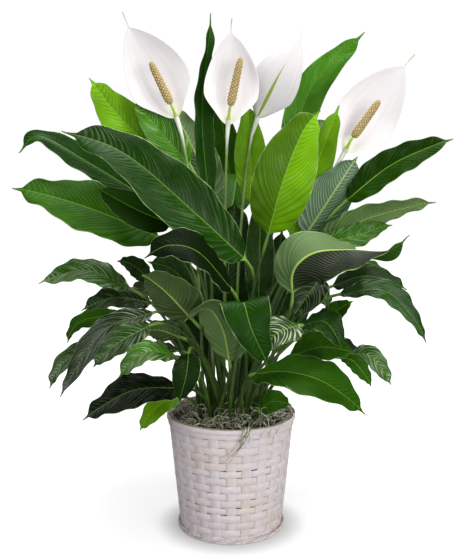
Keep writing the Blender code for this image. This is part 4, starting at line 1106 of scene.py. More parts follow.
def fine_leaf(stem, skin, sizes, slot):
    """A leaf with pleats between its side veins, ruffled margins, grooved midrib and keel.
    Its rows of points follow the side veins, which leave the midrib and sweep to the tip."""
    row = stem.row
    small = row.width < SMALL_LEAF
    length = stem.length[-1] - stem.length[PETIOLE_STEPS - 1]
    widest = 0.5 * row.width * MM
    closer = 0.7 if small or row.finish == "under" else 1.0
    veins = max(VEINS_LEAST, round(length / (sizes.vein_spacing * closer)))
    blade = np.linspace(0, 1, ROWS_A_VEIN * veins + 1)
    sweep = smooth_step(blade / 0.25) * smooth_step((1 - blade) / 0.6)
    sweep = sweep * min((2.1 if small else 1.15) * widest / length, 0.24)
    petiole = np.linspace(-1, 0, STEM_ROWS + 1)[:-1]
    rows = np.concatenate([petiole, blade])
    sweep = np.concatenate([np.zeros(len(petiole)), sweep])
    phase = np.clip(rows, 0, 1) * veins
    calm = 0.5 if row.finish == "light" else 1.0
    pleat = (np.abs(np.sin(math.pi * phase)) ** 0.7 - 0.6) * calm
    rib_width = (0.9 if small else 1.25) * MM
    across = vein_columns(widest, small)
    upper, lower, off_rib = [], [], []
    for u in across:
        t = rows + sweep * (0.75 * abs(u) + 0.8 * u * u)
        place, side, normal = stem.frame(t)
        on = np.clip(t, 0, 1)
        half = leaf_half_width(row, on) + shoulder(widest, on)
        x = half * u
        body = smooth_step(on / 0.1) * smooth_step((1 - on) / 0.12)
        inward = 1 - abs(u) ** 8
        relief = sizes.vein_relief * pleat * body * smooth_step((np.abs(x) - 1.0 * MM) / (5 * MM)) * inward
        turn = 2 * math.pi * (row.waves + 3.5) * t + 2.2 * np.sign(u) + row.width
        ruffle = calm * sizes.margin_ruffle * np.sin(turn) * abs(u) ** 3 * body
        droop = sizes.tip_curl * smooth_step((on - 0.86) / 0.14) ** 2
        lift = leaf_height(row, half, t, np.full(len(t), u)) + relief + ruffle - droop
        spread = x * math.cos(math.radians(row.fold) * 0.6)
        middle = place + side * spread[:, None] + normal * lift[:, None]
        thick = 0.5 * BLADE_THICKNESS * (1 - 0.6 * abs(u) ** 8)
        groove = 0.45 * MM * (1 - on) * bell(x, 0, 1.2 * MM)
        keel = MIDRIB_DEPTH * (1 - on) * bell(x, 0, 1.9 * MM)
        radius = petiole_radius(t)
        mix = smooth_step(t / FLAT_FROM)[:, None]
        for sign, sheet, depth in ((1, upper, thick - groove), (-1, lower, thick + keel)):
            angle = round_angle(u, sign)
            hollow = 1 - 0.22 * max(0.0, math.sin(angle)) ** 6
            rod = place + (radius * hollow)[:, None] * (math.cos(angle) * side + math.sin(angle) * normal)
            flat = middle + sign * normal * depth[:, None]
            sheet.append(rod * (1 - mix) + flat * mix)
        off_rib.append(x / (rib_width * (1.05 - 0.7 * on)))
    rings = buried(np.stack(upper + lower[::-1], axis=1))
    count = len(across)
    order = there_and_back(count)
    rib = np.stack(off_rib, axis=1)
    rib = np.vstack([rib[:1], rib])[:, order]
    phase = np.concatenate([phase[:1], phase])
    at = np.concatenate([[FOOT_AT], rows])
    blade_corners = corner_grid(corners_of(phase[:, None], rib))
    stem_corners = corner_grid(corners_of(at[:, None], np.linspace(0, 1, len(order))))
    is_stem = at[1:] < STEM_PART_ENDS
    corners = np.where(is_stem[:, None, None, None], stem_corners, blade_corners)
    # Slots: 0 is the stem, 1 the margin, then the upper side and the underside.
    slots = np.full((len(at) - 1, 2 * count), slot)
    slots[:, count - 1:] += 1
    slots[:, [0, count - 2, count - 1, count, 2 * count - 2, 2 * count - 1]] = 1
    slots[is_stem] = 0
    skin.add(rings, corners, slots)


# A tone is the colours of both sides, roughness and gloss of the upper one, how bright the halves of each
# side are painted (where they differ, a painted light and shade), how strongly pale bars of painted sheen
# cross its pleats, and the underside's lines.
Tone = namedtuple("Tone", "upper under roughness gloss upper_shade under_shade stripe lines", defaults=[0.2])
EVEN = (1.0, 1.0)
TONES = {
    "glossy": Tone("glossy", "olive", 0.24, 0.09, EVEN, EVEN, 0.03),
    "dark": Tone("dark", "olive", 0.26, 0.12, EVEN, EVEN, 0.03),
    "green": Tone("green", "sage", 0.32, 0.04, EVEN, EVEN, 0.03),
    "light": Tone("light", "sage", 0.34, 0.08, EVEN, EVEN, 0.03),
    "under": Tone("green", "sage", 0.32, 0.08, EVEN, EVEN, 0.03),
    "olive": Tone("dark", "olive", 0.30, 0.15, EVEN, EVEN, 0.03),
}
# Leaves of their own tone: the shoot, and the leaf's number in it.
OWN_TONES = {
    "leaf_upright_light 0": Tone("light", "sage", 0.34, 0.08, (0.5, 1.2), EVEN, 0.06),
    "leaf_right_broad 0": Tone("green", "sage", 0.32, 0.10, EVEN, (0.1, 1.1), 0.0, 0.07),
    "leaf_front_arched 0": Tone("green", "sage", 0.32, 0.10, EVEN, (1.2, 1.7), 0.0, 0.12),
    "leaf_middle_under 0": Tone("green", "olive", 0.32, 0.10, EVEN, (1.15, 0.95), 0.0, 0.1),
    "leaf_middle_arched 0": Tone("dark", "olive", 0.42, 0.04, (0.2, 0.24), EVEN, 0.0),
    "leaf_left_folded 0": Tone("green", "olive", 0.38, 0.06, (0.45, 0.6), EVEN, 0.0),
    "leaf_front_striped 0": Tone("green", "sage", 0.32, 0.10, (0.5, 0.5), EVEN, 0.8),
    "leaf_right_under 0": Tone("green", "silver", 0.32, 0.10, EVEN, EVEN, 0.0, 0.34),
    "leaf_right_tier 0": Tone("green", "sage", 0.32, 0.10, (1.2, 1.2), EVEN, 0.25),
    "leaf_right_tier 1": Tone("green", "sage", 0.32, 0.10, EVEN, (1.9, 1.5), 0.0, 0.3),
    "leaf_crown_right 0": Tone("green", "sage", 0.32, 0.08, (2.6, 2.1), EVEN, 0.15),
    "leaf_right_dark 0": Tone("green", "sage", 0.30, 0.03, (0.3, 0.5), EVEN, 0.03),
    "leaf_left_upper_small 0": Tone("green", "sage", 0.26, 0.20, (1.5, 1.1), EVEN, 0.5),
    "leaf_left_long 0": Tone("dark", "olive", 0.20, 0.35, (0.45, 0.65), EVEN, 0.36),
    "leaf_left_outer 0": Tone("green", "olive", 0.24, 0.30, (0.7, 0.7), EVEN, 0.5),
    "leaf_left_olive 1": Tone("dark", "olive", 0.24, 0.30, (0.5, 0.5), EVEN, 0.65),
    "leaf_left_middle 0": Tone("green", "sage", 0.26, 0.18, (0.38, 0.6), EVEN, 0.3),
    "leaf_left_low 0": Tone("dark", "olive", 0.28, 0.10, (0.15, 0.18), EVEN, 0.07),
    "leaf_left_inner 0": Tone("green", "sage", 0.28, 0.12, (0.45, 0.3), EVEN, 0.25),
    "leaf_left_pale 0": Tone("green", "sage", 0.30, 0.15, (1.2, 1.6), EVEN, 0.5),
    "leaf_right_low_pale 0": Tone("green", "sage", 0.30, 0.15, (1.2, 1.2), EVEN, 0.6),
    "leaf_right_arch 0": Tone("glossy", "sage", 0.22, 0.20, (1.0, 1.3), EVEN, 0.1),
    "leaf_right_hanging 0": Tone("dark", "olive", 0.30, 0.10, (0.5, 0.6), EVEN, 0.2),
    "leaf_front_low_right 0": Tone("green", "sage", 0.34, 0.03, (0.75, 0.7), EVEN, 0.02),
    "leaf_crown_left 1": Tone("light", "sage", 0.34, 0.08, (1.2, 1.1), EVEN, 0.1),
    "leaf_upper_left 0": Tone("glossy", "olive", 0.24, 0.06, (0.85, 0.62), EVEN, 0.08),
    "leaf_front_right 0": Tone("glossy", "olive", 0.26, 0.08, (0.75, 0.8), EVEN, 0.02),
    "leaf_front_middle 0": Tone("glossy", "olive", 0.28, 0.05, (0.85, 0.85), EVEN, 0.0),
    "leaf_front_hanging 0": Tone("dark", "olive", 0.28, 0.06, (0.6, 0.6), EVEN, 0.0),
    "leaf_crown_left 0": Tone("green", "sage", 0.32, 0.06, (2.2, 1.8), EVEN, 0.35),
    "leaf_crown_left 2": Tone("glossy", "olive", 0.3, 0.06, (1.1, 1.3), EVEN, 0.03),
}


class BuildLeaves(bpy.types.Operator):
    """Dress every leaf node with its veined blades and fleshy stems"""
    bl_idname = "peace_lily.leaves"
    bl_label = "Leaves"

    def execute(self, context):
        sizes, colours = context.scene.lily_sizes, context.scene.lily_colours
        stem_skin = leaf_stem("fleshy_leaf_stem", colours.stem, linear("#6f9a3a"), 0.12)
        edge = leaf_margin("horny_leaf_margin", colours.margin)
        faces = {}
        for key, tone in {**TONES, **OWN_TONES}.items():
            kind = key.replace(" ", "_").replace("leaf_", "")
            upper, under = getattr(colours, tone.upper), getattr(colours, tone.under)
            faces[key] = (leaf_upper("waxy_leaf_" + kind, upper, tone.roughness, tone.gloss,
                                     tone.upper_shade, tone.stripe),
                          leaf_under("matt_underside_" + kind, under, tone.under_shade, tone.lines))
        shoots = {}
        for stem in lay_out():
            if isinstance(stem.row, Bloom):
                continue
            if stem.row.name != "+":
                name = stem.row.name
                shoots[name] = []
            shoots[name].append(stem)
        for name, stems in shoots.items():
            skin = Skin()
            materials = [stem_skin, edge]
            for number, stem in enumerate(stems):
                fine_leaf(stem, skin, sizes, len(materials))
                materials += faces.get(f"{name} {number}", faces[stem.row.finish])
            piece = skin.build("fine_" + name, materials)
            stand_in(piece, stems[0].row.finish, name)
        return {"FINISHED"}


# Blooms

STALK_SIDES = 14
STALK_ROWS = 150
STALK_TOP_RADIUS = 1.8 * MM
STIPE_START = -0.04
SPATHE_ROWS = 90
SPATHE_MIDRIB_COLUMN = 13
FLORET_STEPS = 6


def fine_stalk(name, stem, materials):
    """A stalk that swells under the spathe and ends in the stipe that carries the spadix."""
    stalk, spadix = bloom_line(stem)
    reach = unit(spadix[1] - spadix[0])
    line = np.vstack([stalk[:-1:3], stalk[-1], spadix[0] - reach * 5 * MM, spadix[0] - reach * 0.4 * MM])
    share = np.linspace(0, 1, STALK_ROWS)
    flare = smooth_step((share - 0.87) / 0.085) * (1 - smooth_step((share - 0.955) / 0.02))
    radii = STALK_RADIUS + (STALK_TOP_RADIUS - STALK_RADIUS) * share + 1.6 * MM * flare
    line = even_steps(line, STALK_ROWS)
    along = unit(np.gradient(line, axis=0))
    along[0] = UP
    rings = buried(tube_rings(line, along, FORWARD, radii, STALK_SIDES))
    at = np.concatenate([[FOOT_AT], share - 1])
    slots = (at[1:, None] > STIPE_START).astype(int)
    skin = Skin()
    skin.add(rings, corners_of(at[:, None], np.linspace(0, 1, STALK_SIDES + 1)), slots)
    return skin.build(name, materials)


def fine_spathe(name, stem, front, back):
    """The bract: cupped, with a soft keel behind, faint veins and a drip tip."""
    stations = np.linspace(0, 1, SPATHE_ROWS)
    across = np.concatenate([[-1], np.linspace(-0.97, 0.97, 25), [1]])
    middle, normal, _, _ = blade_grid(stem, stations, across, spathe_half_width, spathe_height)
    # Near its foot the bract gathers round the stalk.
    gather = 0.42 * (1 - smooth_step((stations - 0.02) / 0.26))
    midrib = middle[:, SPATHE_MIDRIB_COLUMN:SPATHE_MIDRIB_COLUMN + 1]
    middle += (midrib - middle) * gather[:, None, None]
    half = spathe_half_width(stem.row, stations)
    x = half[:, None] * across[None, :]
    reach = 0.5 * stem.row.width * MM
    edge = np.abs(across) ** 8
    veins = 0.10 * MM * np.sin(across[None, :] * 40) * smooth_step(stations / 0.2)[:, None]
    crease = -0.5 * MM * bell(x, 0, 2 * MM) * np.clip(1 - stations, 0, 1)[:, None]
    middle = middle + normal[:, None, :] * (veins * (1 - edge) + crease)[..., None]
    thick = 0.5 * BLADE_THICKNESS * (1 - 0.6 * edge)
    keel = 0.9 * MM * bell(x, 0, 1.6 * MM) * np.clip(1 - stations / 0.7, 0, 1)[:, None]
    top = middle + normal[:, None, :] * thick[None, :, None]
    bottom = middle - normal[:, None, :] * (thick[None, :] + keel)[..., None]
    rings = np.concatenate([top, bottom[:, ::-1]], axis=1)
    order = there_and_back(len(across))
    slots = np.array([0] * (len(across) - 1) + [1] * (len(across) + 1))
    skin = Skin()
    skin.add(rings, corners_of(stations[:, None], across[order] * reach * 100), slots)
    return skin.build(name, [front, back])


def fine_spadix(name, stem, sizes, material):
    """A blunt spike covered in rows of round florets, each row set off by half a floret."""
    _, spadix = bloom_line(stem)
    ahead = unit(spadix[1] - spadix[0])
    side = unit(np.cross(ahead, [0, 1, 0]))
    normal = np.cross(side, ahead)
    f = np.linspace(0, 1, sizes.floret_rows * FLORET_STEPS + 1)[:, None]
    turn = np.linspace(0, 2 * math.pi, sizes.florets_round * FLORET_STEPS + 1)[None, :]
    a = f * sizes.floret_rows + 0.2 * np.sin(3 * turn + 37 * f)
    b = turn / (2 * math.pi) * sizes.florets_round
    dome = np.abs(np.sin(math.pi * 0.5 * (a + b)) * np.sin(math.pi * 0.5 * (a - b)))
    dome = 0.7 * dome ** 0.8 + 0.3 * dome ** 5
    taper = (1 - 0.3 * f) * np.sqrt(np.maximum(0.02, 1 - np.abs(2 * f - 1) ** 7))
    radius = 1.1 * SPADIX_RADIUS * taper + sizes.floret_relief * (dome - 0.35)
    out = np.cos(turn)[..., None] * side + np.sin(turn)[..., None] * normal
    points = spadix[0] + (spadix[1] - spadix[0]) * f[..., None] + out * radius[..., None]
    skin = Skin()
    skin.add(points[:, :-1], corners_of(f, dome))
    return skin.build(name, [material])


class BuildBlooms(bpy.types.Operator):
    """Dress every bloom with its stalk, spathe and spadix"""
    bl_idname = "peace_lily.blooms"
    bl_label = "Blooms"

    def execute(self, context):
        sizes, colours = context.scene.lily_sizes, context.scene.lily_colours
        pale_stem = blend(colours.stem, linear("#8aa858"), 0.4)
        stalk = [leaf_stem("fleshy_flower_stalk", pale_stem, linear("#d9dcd2"), 0.16),
                 leaf_stem("yellow_green_stipe", linear("#8fa82c"), linear("#a3b83a"), 0.05)]
        front = spathe_bract("satin_spathe_front", colours.spathe, back=False)
        # The back is the spathe's white painted darker, a painted shade over the whole back.
        back = spathe_bract("satin_spathe_back", dim(colours.spathe, 0.78), back=True)
        florets = spadix_florets("packed_dry_florets", colours.spadix)
        for stem in lay_out():
            if not isinstance(stem.row, Bloom):
                continue
            node = "bloom_" + stem.row.name
            fine = "fine_" + node
            stand_in(fine_stalk(fine + "_stalk", stem, stalk), "stalk", node + "_stalk")
            stand_in(fine_spathe(fine + "_spathe", stem, front, back), "spathe", node + "_spathe")
            stand_in(fine_spadix(fine + "_spadix", stem, sizes, florets), "spadix", node + "_spadix")
        return {"FINISHED"}


# Basket

WEAVE_SEED = 7
EASED_EDGE = 0.35
SPLINT_STIFFNESS = 1.4
WEAVE_MARGIN = 1.5 * MM
STEPS_A_STAKE = 8
STAKE_ROWS = 110
STAKE_GRAIN = 12 * MM
STAKE_ERROR = 0.012
# How much wider or narrower than the mean each gap between rows may be.
ROW_GAPS = (0.5, 0.8, 1.2, 2.0, 3.4)
# Mean radii that turn an angle into a length along the wall, the rim and the foot.
WALL_REACH, RIM_REACH, FOOT_REACH = 80 * MM, 88 * MM, 72 * MM
RIM_SEAM = 2.4
# The rim's hoops: how far out, how tall, how far below the top, how thick, and a seed.
RIM_HOOPS = ((0.5 * RIM_THICKNESS + GAP, 6.4 * MM, 3.6 * MM, 1.5 * MM, 0.0),
             (0.2 * MM, 8.6 * MM, 10.0 * MM, 1.0 * MM, 5.0),
             (-WALL - 0.9 * MM, RIM_HEIGHT + 3 * MM, 9.0 * MM, 1.1 * MM, 9.0))
# Degrees round the rim where a thin splint is lashed over it; 270 is the front.
LASHES = (28, 74, 131, 176, 219, 238, 301, 309, 318)
LASH_STEPS = 12
LASH_WIDTH = 3.0 * MM
HOOP_STEPS = 240
FOOT_STRANDS = 3
FOOT_STEPS = 360


def wall_radius(height):
    """The basket's outer face, straight from foot to rim."""
    outer = BASKET_TOP_RADIUS - RIM_THICKNESS - GAP
    return BASKET_FOOT_RADIUS + (outer - BASKET_FOOT_RADIUS) * height / BASKET_HEIGHT


def swing(count):
    """From 1 over a crossing to -1 under it, nearly flat in between like a stiff splint."""
    return np.tanh(SPLINT_STIFFNESS * np.cos(math.pi * count)) / math.tanh(SPLINT_STIFFNESS)


def round_line(radius, angle, height):
    """Points round the basket's axis, and the way out at each."""
    out = np.stack([np.cos(angle), np.sin(angle), np.zeros_like(angle)], axis=1)
    line = out * np.broadcast_to(radius, angle.shape)[:, None]
    line[:, 2] = height
    return line, out


def slow_noise(values, seed):
    """A smooth wobble from -1 to 1."""
    return np.array([noise.noise(Vector((v, seed, 0.5))) for v in values])


def strip_rings(line, out, up, width, thickness):
    """Rings round a flat splint with eased edges.  Its width may change along it."""
    w, h = 0.5 * np.broadcast_to(width, len(line))[:, None], 0.5 * thickness
    b = EASED_EDGE * thickness
    section = [(-w + b, h), (w - b, h), (w, h - b), (w, b - h),
               (w - b, -h), (b - w, -h), (-w, b - h), (-w, h - b)]
    return np.stack([line + up * x + out * y for x, y in section], axis=1)


def strip_corners(length, width, offset):
    """Centimetres along and across a splint, moved by its own offset so no two match."""
    across = np.array([-0.5, 0.5, 0.52, 0.55, 1.5, 2.5, 2.55, 2.6, -0.5]) * width * 100
    return corners_of((length * 100 + offset)[:, None], across + offset)


class BuildBasketWall(bpy.types.Operator):
    """Weave the basket's wall from upright stakes and rows of splints"""
    bl_idname = "peace_lily.basket_wall"
    bl_label = "Basket wall"

    def execute(self, context):
        sizes, colours = context.scene.lily_basket, context.scene.lily_colours
        low, high = FOOT_HEIGHT + WEAVE_MARGIN, BASKET_HEIGHT - RIM_HEIGHT - WEAVE_MARGIN
        pitch = (high - low) / WEAVE_ROWS
        chance = random.Random(WEAVE_SEED)
        skin = Skin()
        height = np.linspace(1.0 * MM, BASKET_HEIGHT - 1.0 * MM, STAKE_ROWS)
        width = sizes.stake_width * (0.86 + 0.14 * height / BASKET_HEIGHT)
        for stake in range(STAKES):
            depth = -sizes.weave_depth * swing(stake + (height - low) / pitch - 0.5)
            radius = wall_radius(height) - 0.5 * WALL + depth
            error = chance.uniform(-STAKE_ERROR, STAKE_ERROR)
            angle = np.full(len(height), 2 * math.pi * stake / STAKES + error)
            line, out = round_line(radius, angle, height)
            rings = strip_rings(line, out, np.cross(out, UP), width, sizes.splint)
            skin.add(rings, strip_corners(height, STAKE_GRAIN, chance.uniform(0, 500)), stake % 3)
        # Row -1 is the wide splint behind the foot's hoop.
        for row in range(-1, WEAVE_ROWS):
            middle = low + (row + 0.5) * pitch
            tall = pitch - sizes.row_gap * chance.choice(ROW_GAPS)
            if row < 0:
                middle, tall = 0.5 * FOOT_HEIGHT + 1.2 * MM, FOOT_HEIGHT
            start = chance.uniform(0, 2 * math.pi)
            angle = np.linspace(0, 2 * math.pi, STAKES * STEPS_A_STAKE + 1) + start
            count = angle / (2 * math.pi) * STAKES
            level = middle + 0.7 * MM * slow_noise(np.cos(angle) * 4 + np.sin(angle) * 5, row)
            radius = wall_radius(level) - 0.5 * WALL + sizes.weave_depth * swing(count + row)
            line, out = round_line(radius, angle, level)
            corners = strip_corners((angle - start) * WALL_REACH, pitch, chance.uniform(0, 500))
            skin.add_hoop(strip_rings(line, out, UP, tall, sizes.splint), corners, row % 3)
        paints = []
        for kind, bright, worn in (("", 1, 0.3), ("_thin", 0.95, 0.38), ("_thick", 1, 0.1)):
            wash = dim(colours.splint, bright)
            paints.append(whitewashed_chipwood("whitewashed_chipwood" + kind, wash, colours.wood, worn))
        stand_in(skin.build("fine_basket_weave", paints), "splint", "basket_weave")
        return {"FINISHED"}


class BuildBasketBands(bpy.types.Operator):
    """Bind the basket's rim with wide splints and its foot with a twisted hoop"""
    bl_idname = "peace_lily.basket_bands"
    bl_label = "Basket rim and foot"

    def execute(self, context):
        sizes, colours = context.scene.lily_basket, context.scene.lily_colours
        paint = whitewashed_chipwood("whitewashed_band", colours.splint, colours.wood, 0.9)
        bare = whitewashed_chipwood("worn_chipwood_band", dim(colours.wood, 0.75), dim(colours.wood, 0.6),
                                    1.0)
        # A darker copy of the band's whitewash: a painted shade on one of the foot's twisted strands.
        shaded = whitewashed_chipwood("whitewashed_band_thin", dim(colours.splint, 0.8), colours.wood, 0.8)
        skin = Skin()
        for number, (inset, tall, below, thick, seed) in enumerate(RIM_HOOPS):
            angle = np.linspace(0, 2 * math.pi, HOOP_STEPS + 1) + RIM_SEAM
            wobble = slow_noise(np.cos(angle) * 3 + np.sin(angle) * 2, seed)
            height = BASKET_HEIGHT - below + 0.7 * MM * wobble
            line, out = round_line(wall_radius(height) + inset + 0.3 * MM * wobble, angle, height)
            corners = strip_corners((angle - RIM_SEAM) * RIM_REACH, tall, 3 + seed)
            skin.add_hoop(strip_rings(line, out, UP, tall, thick), corners, number // 2)
        share = np.linspace(0, 1, LASH_STEPS)
        height = BASKET_HEIGHT - 0.6 * MM - 12 * MM * share
        bow = 0.9 * MM * np.sin(math.pi * share)
        for number, degrees in enumerate(LASHES):
            angle = np.radians(degrees - 5 * share)
            line, out = round_line(wall_radius(height) + 0.5 * RIM_THICKNESS + 0.6 * MM + bow, angle, height)
            side = unit(np.cross(out, unit(np.gradient(line, axis=0))))
            rings = strip_rings(line, out, side, LASH_WIDTH, 0.7 * MM)
            skin.add(rings, strip_corners(share * 13 * MM, LASH_WIDTH, number * 7))
        stand_in(skin.build("fine_basket_rim", [paint, bare]), "band", "basket_rim")
        skin = Skin()
        foot_radius = wall_radius(0.5 * FOOT_HEIGHT) + 1.6 * MM
        turns = round(2 * math.pi * foot_radius / sizes.twist)
        angle = np.linspace(0, 2 * math.pi, FOOT_STEPS + 1)
        for strand in range(FOOT_STRANDS):
            twist = angle * turns + 2 * math.pi * strand / FOOT_STRANDS
            height = 3.9 * MM + 1.9 * MM * np.sin(twist)
            line, out = round_line(foot_radius + 1.1 * MM * np.cos(twist), angle, height)
            lean_up = unit(UP + out * 0.6 * np.sin(twist)[:, None])
            face = unit(out - lean_up * np.sum(out * lean_up, axis=1, keepdims=True))
            corners = strip_corners(angle * FOOT_REACH, 4 * MM, 40 + strand * 9)
            skin.add_hoop(strip_rings(line, face, lean_up, 3.2 * MM, 1.6 * MM), corners, strand % 2)
        stand_in(skin.build("fine_basket_foot", [paint, shaded]), "band", "basket_foot")
        return {"FINISHED"}


# Pot, soil and moss

POT_STEPS = 128
SOIL_STEPS = 160
SOIL_RINGS = 44
SOIL_LUMP_LIMIT = 2.5 * MM
CENTRE_HOLE = 0.5 * MM
MOSS_SEED = 21
MAT_STEPS = 150
MAT_RINGS = 24
MAT_INNER = 40 * MM
STRAND_STEPS = 22
STRAND_SIDES = 4
STRAND_SPREAD = 82 * MM
STRAND_LIMIT = 84 * MM
TUFT_STEPS = 18
RIM_REST_RADIUS = 92.2 * MM


def pot_radius(height):
    """The pot's outer face, straight from bottom to top."""
    share = (height - POT_BOTTOM) / (POT_TOP - POT_BOTTOM)
    return POT_BOTTOM_RADIUS + (POT_TOP_RADIUS - POT_BOTTOM_RADIUS) * share


def lathe(profile, steps):
    """Rings round Z, one for each point of a profile."""
    turn = np.linspace(0, 2 * math.pi, steps, endpoint=False)
    return np.array([[(r * math.cos(a), r * math.sin(a), z) for a in turn] for r, z in profile])


class BuildPotAndSoil(bpy.types.Operator):
    """Line the basket with its nursery pot and fill it with crumbly soil"""
    bl_idname = "peace_lily.pot_and_soil"
    bl_label = "Pot and soil"

    def execute(self, context):
        colours = context.scene.lily_colours
        floor = BASE_THICKNESS + GAP
        inside = floor + POT_WALL
        top, foot = pot_radius(POT_TOP), pot_radius(floor)
        profile = [(CENTRE_HOLE, floor), (foot - 1 * MM, floor), (foot, floor + 1 * MM),
                   (top - 0.8 * MM, POT_TOP - 6 * MM), (top + 0.6 * MM, POT_TOP - 5.5 * MM),
                   (top + 0.6 * MM, POT_TOP - 0.5 * MM), (top + 0.1 * MM, POT_TOP),
                   (top - 0.9 * MM, POT_TOP), (top - POT_WALL, POT_TOP - 0.6 * MM),
                   (foot - POT_WALL, inside + 0.8 * MM), (foot - POT_WALL - 1 * MM, inside),
                   (CENTRE_HOLE, inside)]
        skin = Skin()
        skin.add(lathe(profile, POT_STEPS), plain_corners(len(profile), POT_STEPS))
        plastic = moulded_polypropylene("moulded_polypropylene", colours.pot)
        stand_in(skin.build("fine_nursery_pot", [plastic]), "pot", "nursery_pot")
        low = BASE_THICKNESS + POT_WALL + 2 * GAP
        edge = pot_radius(SOIL_TOP) - POT_WALL - GAP
        profile = [(CENTRE_HOLE, low), (pot_radius(low) - POT_WALL - GAP, low), (edge, SOIL_TOP - 2 * MM)]
        profile += [(edge * (1 - k / SOIL_RINGS), SOIL_TOP) for k in range(SOIL_RINGS)]
        points = lathe(profile, SOIL_STEPS)
        for point in points[2:].reshape(-1, 3):
            lump = noise.fractal(Vector(point) * 90, 0.8, 2.0, 3) * 2.2 * MM
            crumb = noise.noise(Vector(point) * 420) * 1.1 * MM
            point[2] += min(lump + crumb, SOIL_LUMP_LIMIT)
        skin = Skin()
        skin.add(points, plain_corners(len(points), SOIL_STEPS))
        stand_in(skin.build("fine_soil", [potting_mix("damp_potting_mix", colours.soil)]), "soil", "soil")
        board = plain_poplar_board("plain_poplar_board", colours.wood)
        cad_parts["basket_base"].material_slots[0].material = board
        return {"FINISHED"}


def curl(chance, start, heading, length, floor, ceiling):
    """A strand that wanders like dry moss, kept over the soil and inside the rim."""
    point = Vector(start)
    ahead = Vector(heading).normalized()
    spin = Vector((chance.uniform(-1, 1), chance.uniform(-1, 1), chance.uniform(-1, 1)))
    line = [point.copy()]
    for _ in range(STRAND_STEPS):
        spin += Vector((chance.gauss(0, 0.22), chance.gauss(0, 0.22), chance.gauss(0, 0.22)))
        spin *= 0.95
        ahead = (ahead + 0.38 * ahead.cross(spin)).normalized()
        point = point + ahead * (length / STRAND_STEPS)
        radius = math.hypot(point.x, point.y)
        if radius > STRAND_LIMIT:
            point.x *= STRAND_LIMIT / radius
            point.y *= STRAND_LIMIT / radius
        point.z = min(max(point.z, floor), ceiling)
        line.append(point.copy())
    return np.array(line)


class BuildMoss(bpy.types.Operator):
    """Cover the soil with curly moss and hang a tuft of it over the front rim"""
    bl_idname = "peace_lily.moss"
    bl_label = "Moss"

    def execute(self, context):
        sizes, colours = context.scene.lily_moss, context.scene.lily_colours
        chance = random.Random(MOSS_SEED)
        bottom = SOIL_TOP + 0.4 * MM
        skin = Skin()
        self.mat(skin, bottom)
        for number in range(sizes.strands):
            radius = STRAND_SPREAD * math.sqrt(chance.uniform(0.12, 1))
            around = chance.uniform(0, 2 * math.pi)
            lift = chance.choice((4, 7, 10, 14)) * MM
            start = (radius * math.cos(around), radius * math.sin(around), bottom + lift)
            heading = (chance.uniform(-1, 1), chance.uniform(-1, 1), chance.uniform(-0.2, 1.1))
            loose = number % 3 == 0
            length = chance.uniform(40, 90) * MM
            floor = bottom + (6 if loose else 2) * MM
            ceiling = bottom + chance.uniform(14, 40 if loose else 18) * MM
            line = curl(chance, start, heading, length, floor, ceiling)
            self.strand(skin, line, sizes.radius * chance.uniform(0.6, 1.2), 1 + number % 2)
        for number in range(sizes.tuft):
            stray = number % 3 == 0
            x = chance.gauss(22, 3.5) * MM
            drop = (chance.uniform(28, 44) if stray else chance.uniform(8, 18)) * MM
            sway = (chance.choice((-33, -26, -14, -4)) if stray else chance.uniform(-13, -3)) * MM
            y = -math.sqrt(RIM_REST_RADIUS ** 2 - x ** 2)
            # From the mat over the rim, down its front, and on to the strand's free end.
            line = through([(x * 0.9, y + 16 * MM, BASKET_HEIGHT - 3 * MM),
                            (x, y + 4 * MM, BASKET_HEIGHT + 3.5 * MM),
                            (x - 1 * MM, y - 0.8 * MM, BASKET_HEIGHT - 3 * MM),
                            (x + sway * 0.35, y + 0.1 * drop, BASKET_HEIGHT - 5 * MM - drop * 0.45),
                            (x + sway, y + 0.12 * drop, BASKET_HEIGHT - 6 * MM - drop)], TUFT_STEPS)
            line[:, 0] += 0.9 * MM * np.sin(np.linspace(0, chance.uniform(4, 11), TUFT_STEPS))
            self.strand(skin, line, sizes.radius * chance.uniform(0.6, 1.2), 1 + number % 2)
        materials = [dry_moss("dry_moss_mat", colours.soil, 0.3, 0.9),
                     dry_moss("dry_moss_grey_green", colours.moss, 0.9, 1.5),
                     dry_moss("dry_moss_brown", colours.moss, 0.2, 0.55)]
        stand_in(skin.build("fine_moss", materials), "moss", "moss")
        return {"FINISHED"}

    def mat(self, skin, bottom):
        """The lumpy ring of moss that the strands lie on."""
        profile = [(MOSS_OUTER - 1 * MM, bottom)]
        for k in range(MAT_RINGS + 1):
            share = k / MAT_RINGS
            radius = MOSS_OUTER - 0.5 * MM - (MOSS_OUTER - MAT_INNER) * k / MAT_RINGS
            crown = (MOSS_HEIGHT - 3 * MM) * math.sin(math.pi * min(1, 0.16 + share))
            profile.append((radius, bottom + crown + 0.8 * MM))
        profile.append((MAT_INNER, bottom))
        points = lathe(profile, MAT_STEPS)
        for point in points[1:-1].reshape(-1, 3):
            point[2] += noise.fractal(Vector(point) * 120, 0.7, 2.0, 3) * 3.4 * MM
            point[2] = max(point[2], bottom)
        rings = np.vstack([points, points[:1]])
        skin.add(rings, plain_corners(len(rings), MAT_STEPS), caps=False)

    def strand(self, skin, line, radius, slot):
        """One thin strand, pointed at its end."""
        share = np.linspace(0, 1, len(line))
        along = unit(np.gradient(line, axis=0))
        normal = unit(np.cross(along[0], [0.3, 0.2, 1.0]))
        rings = tube_rings(line, along, normal, radius * (1 - 0.6 * share ** 3), STRAND_SIDES)
        skin.add(rings, plain_corners(len(line), STRAND_SIDES), slot)


# Stage

PHOTO_HEIGHT = 558
# The photo's focal length and how far its middle is from the lens axis, in its pixels.
PHOTO_FOCAL = 816
PHOTO_SHIFT = 1.5
# The lens's sensor in millimetres, and the degrees that the camera looks down.
SENSOR = 36.0
PITCH = 7.9
FLOOR_REACH = 6
WHITE = (1.0, 1.0, 1.0)
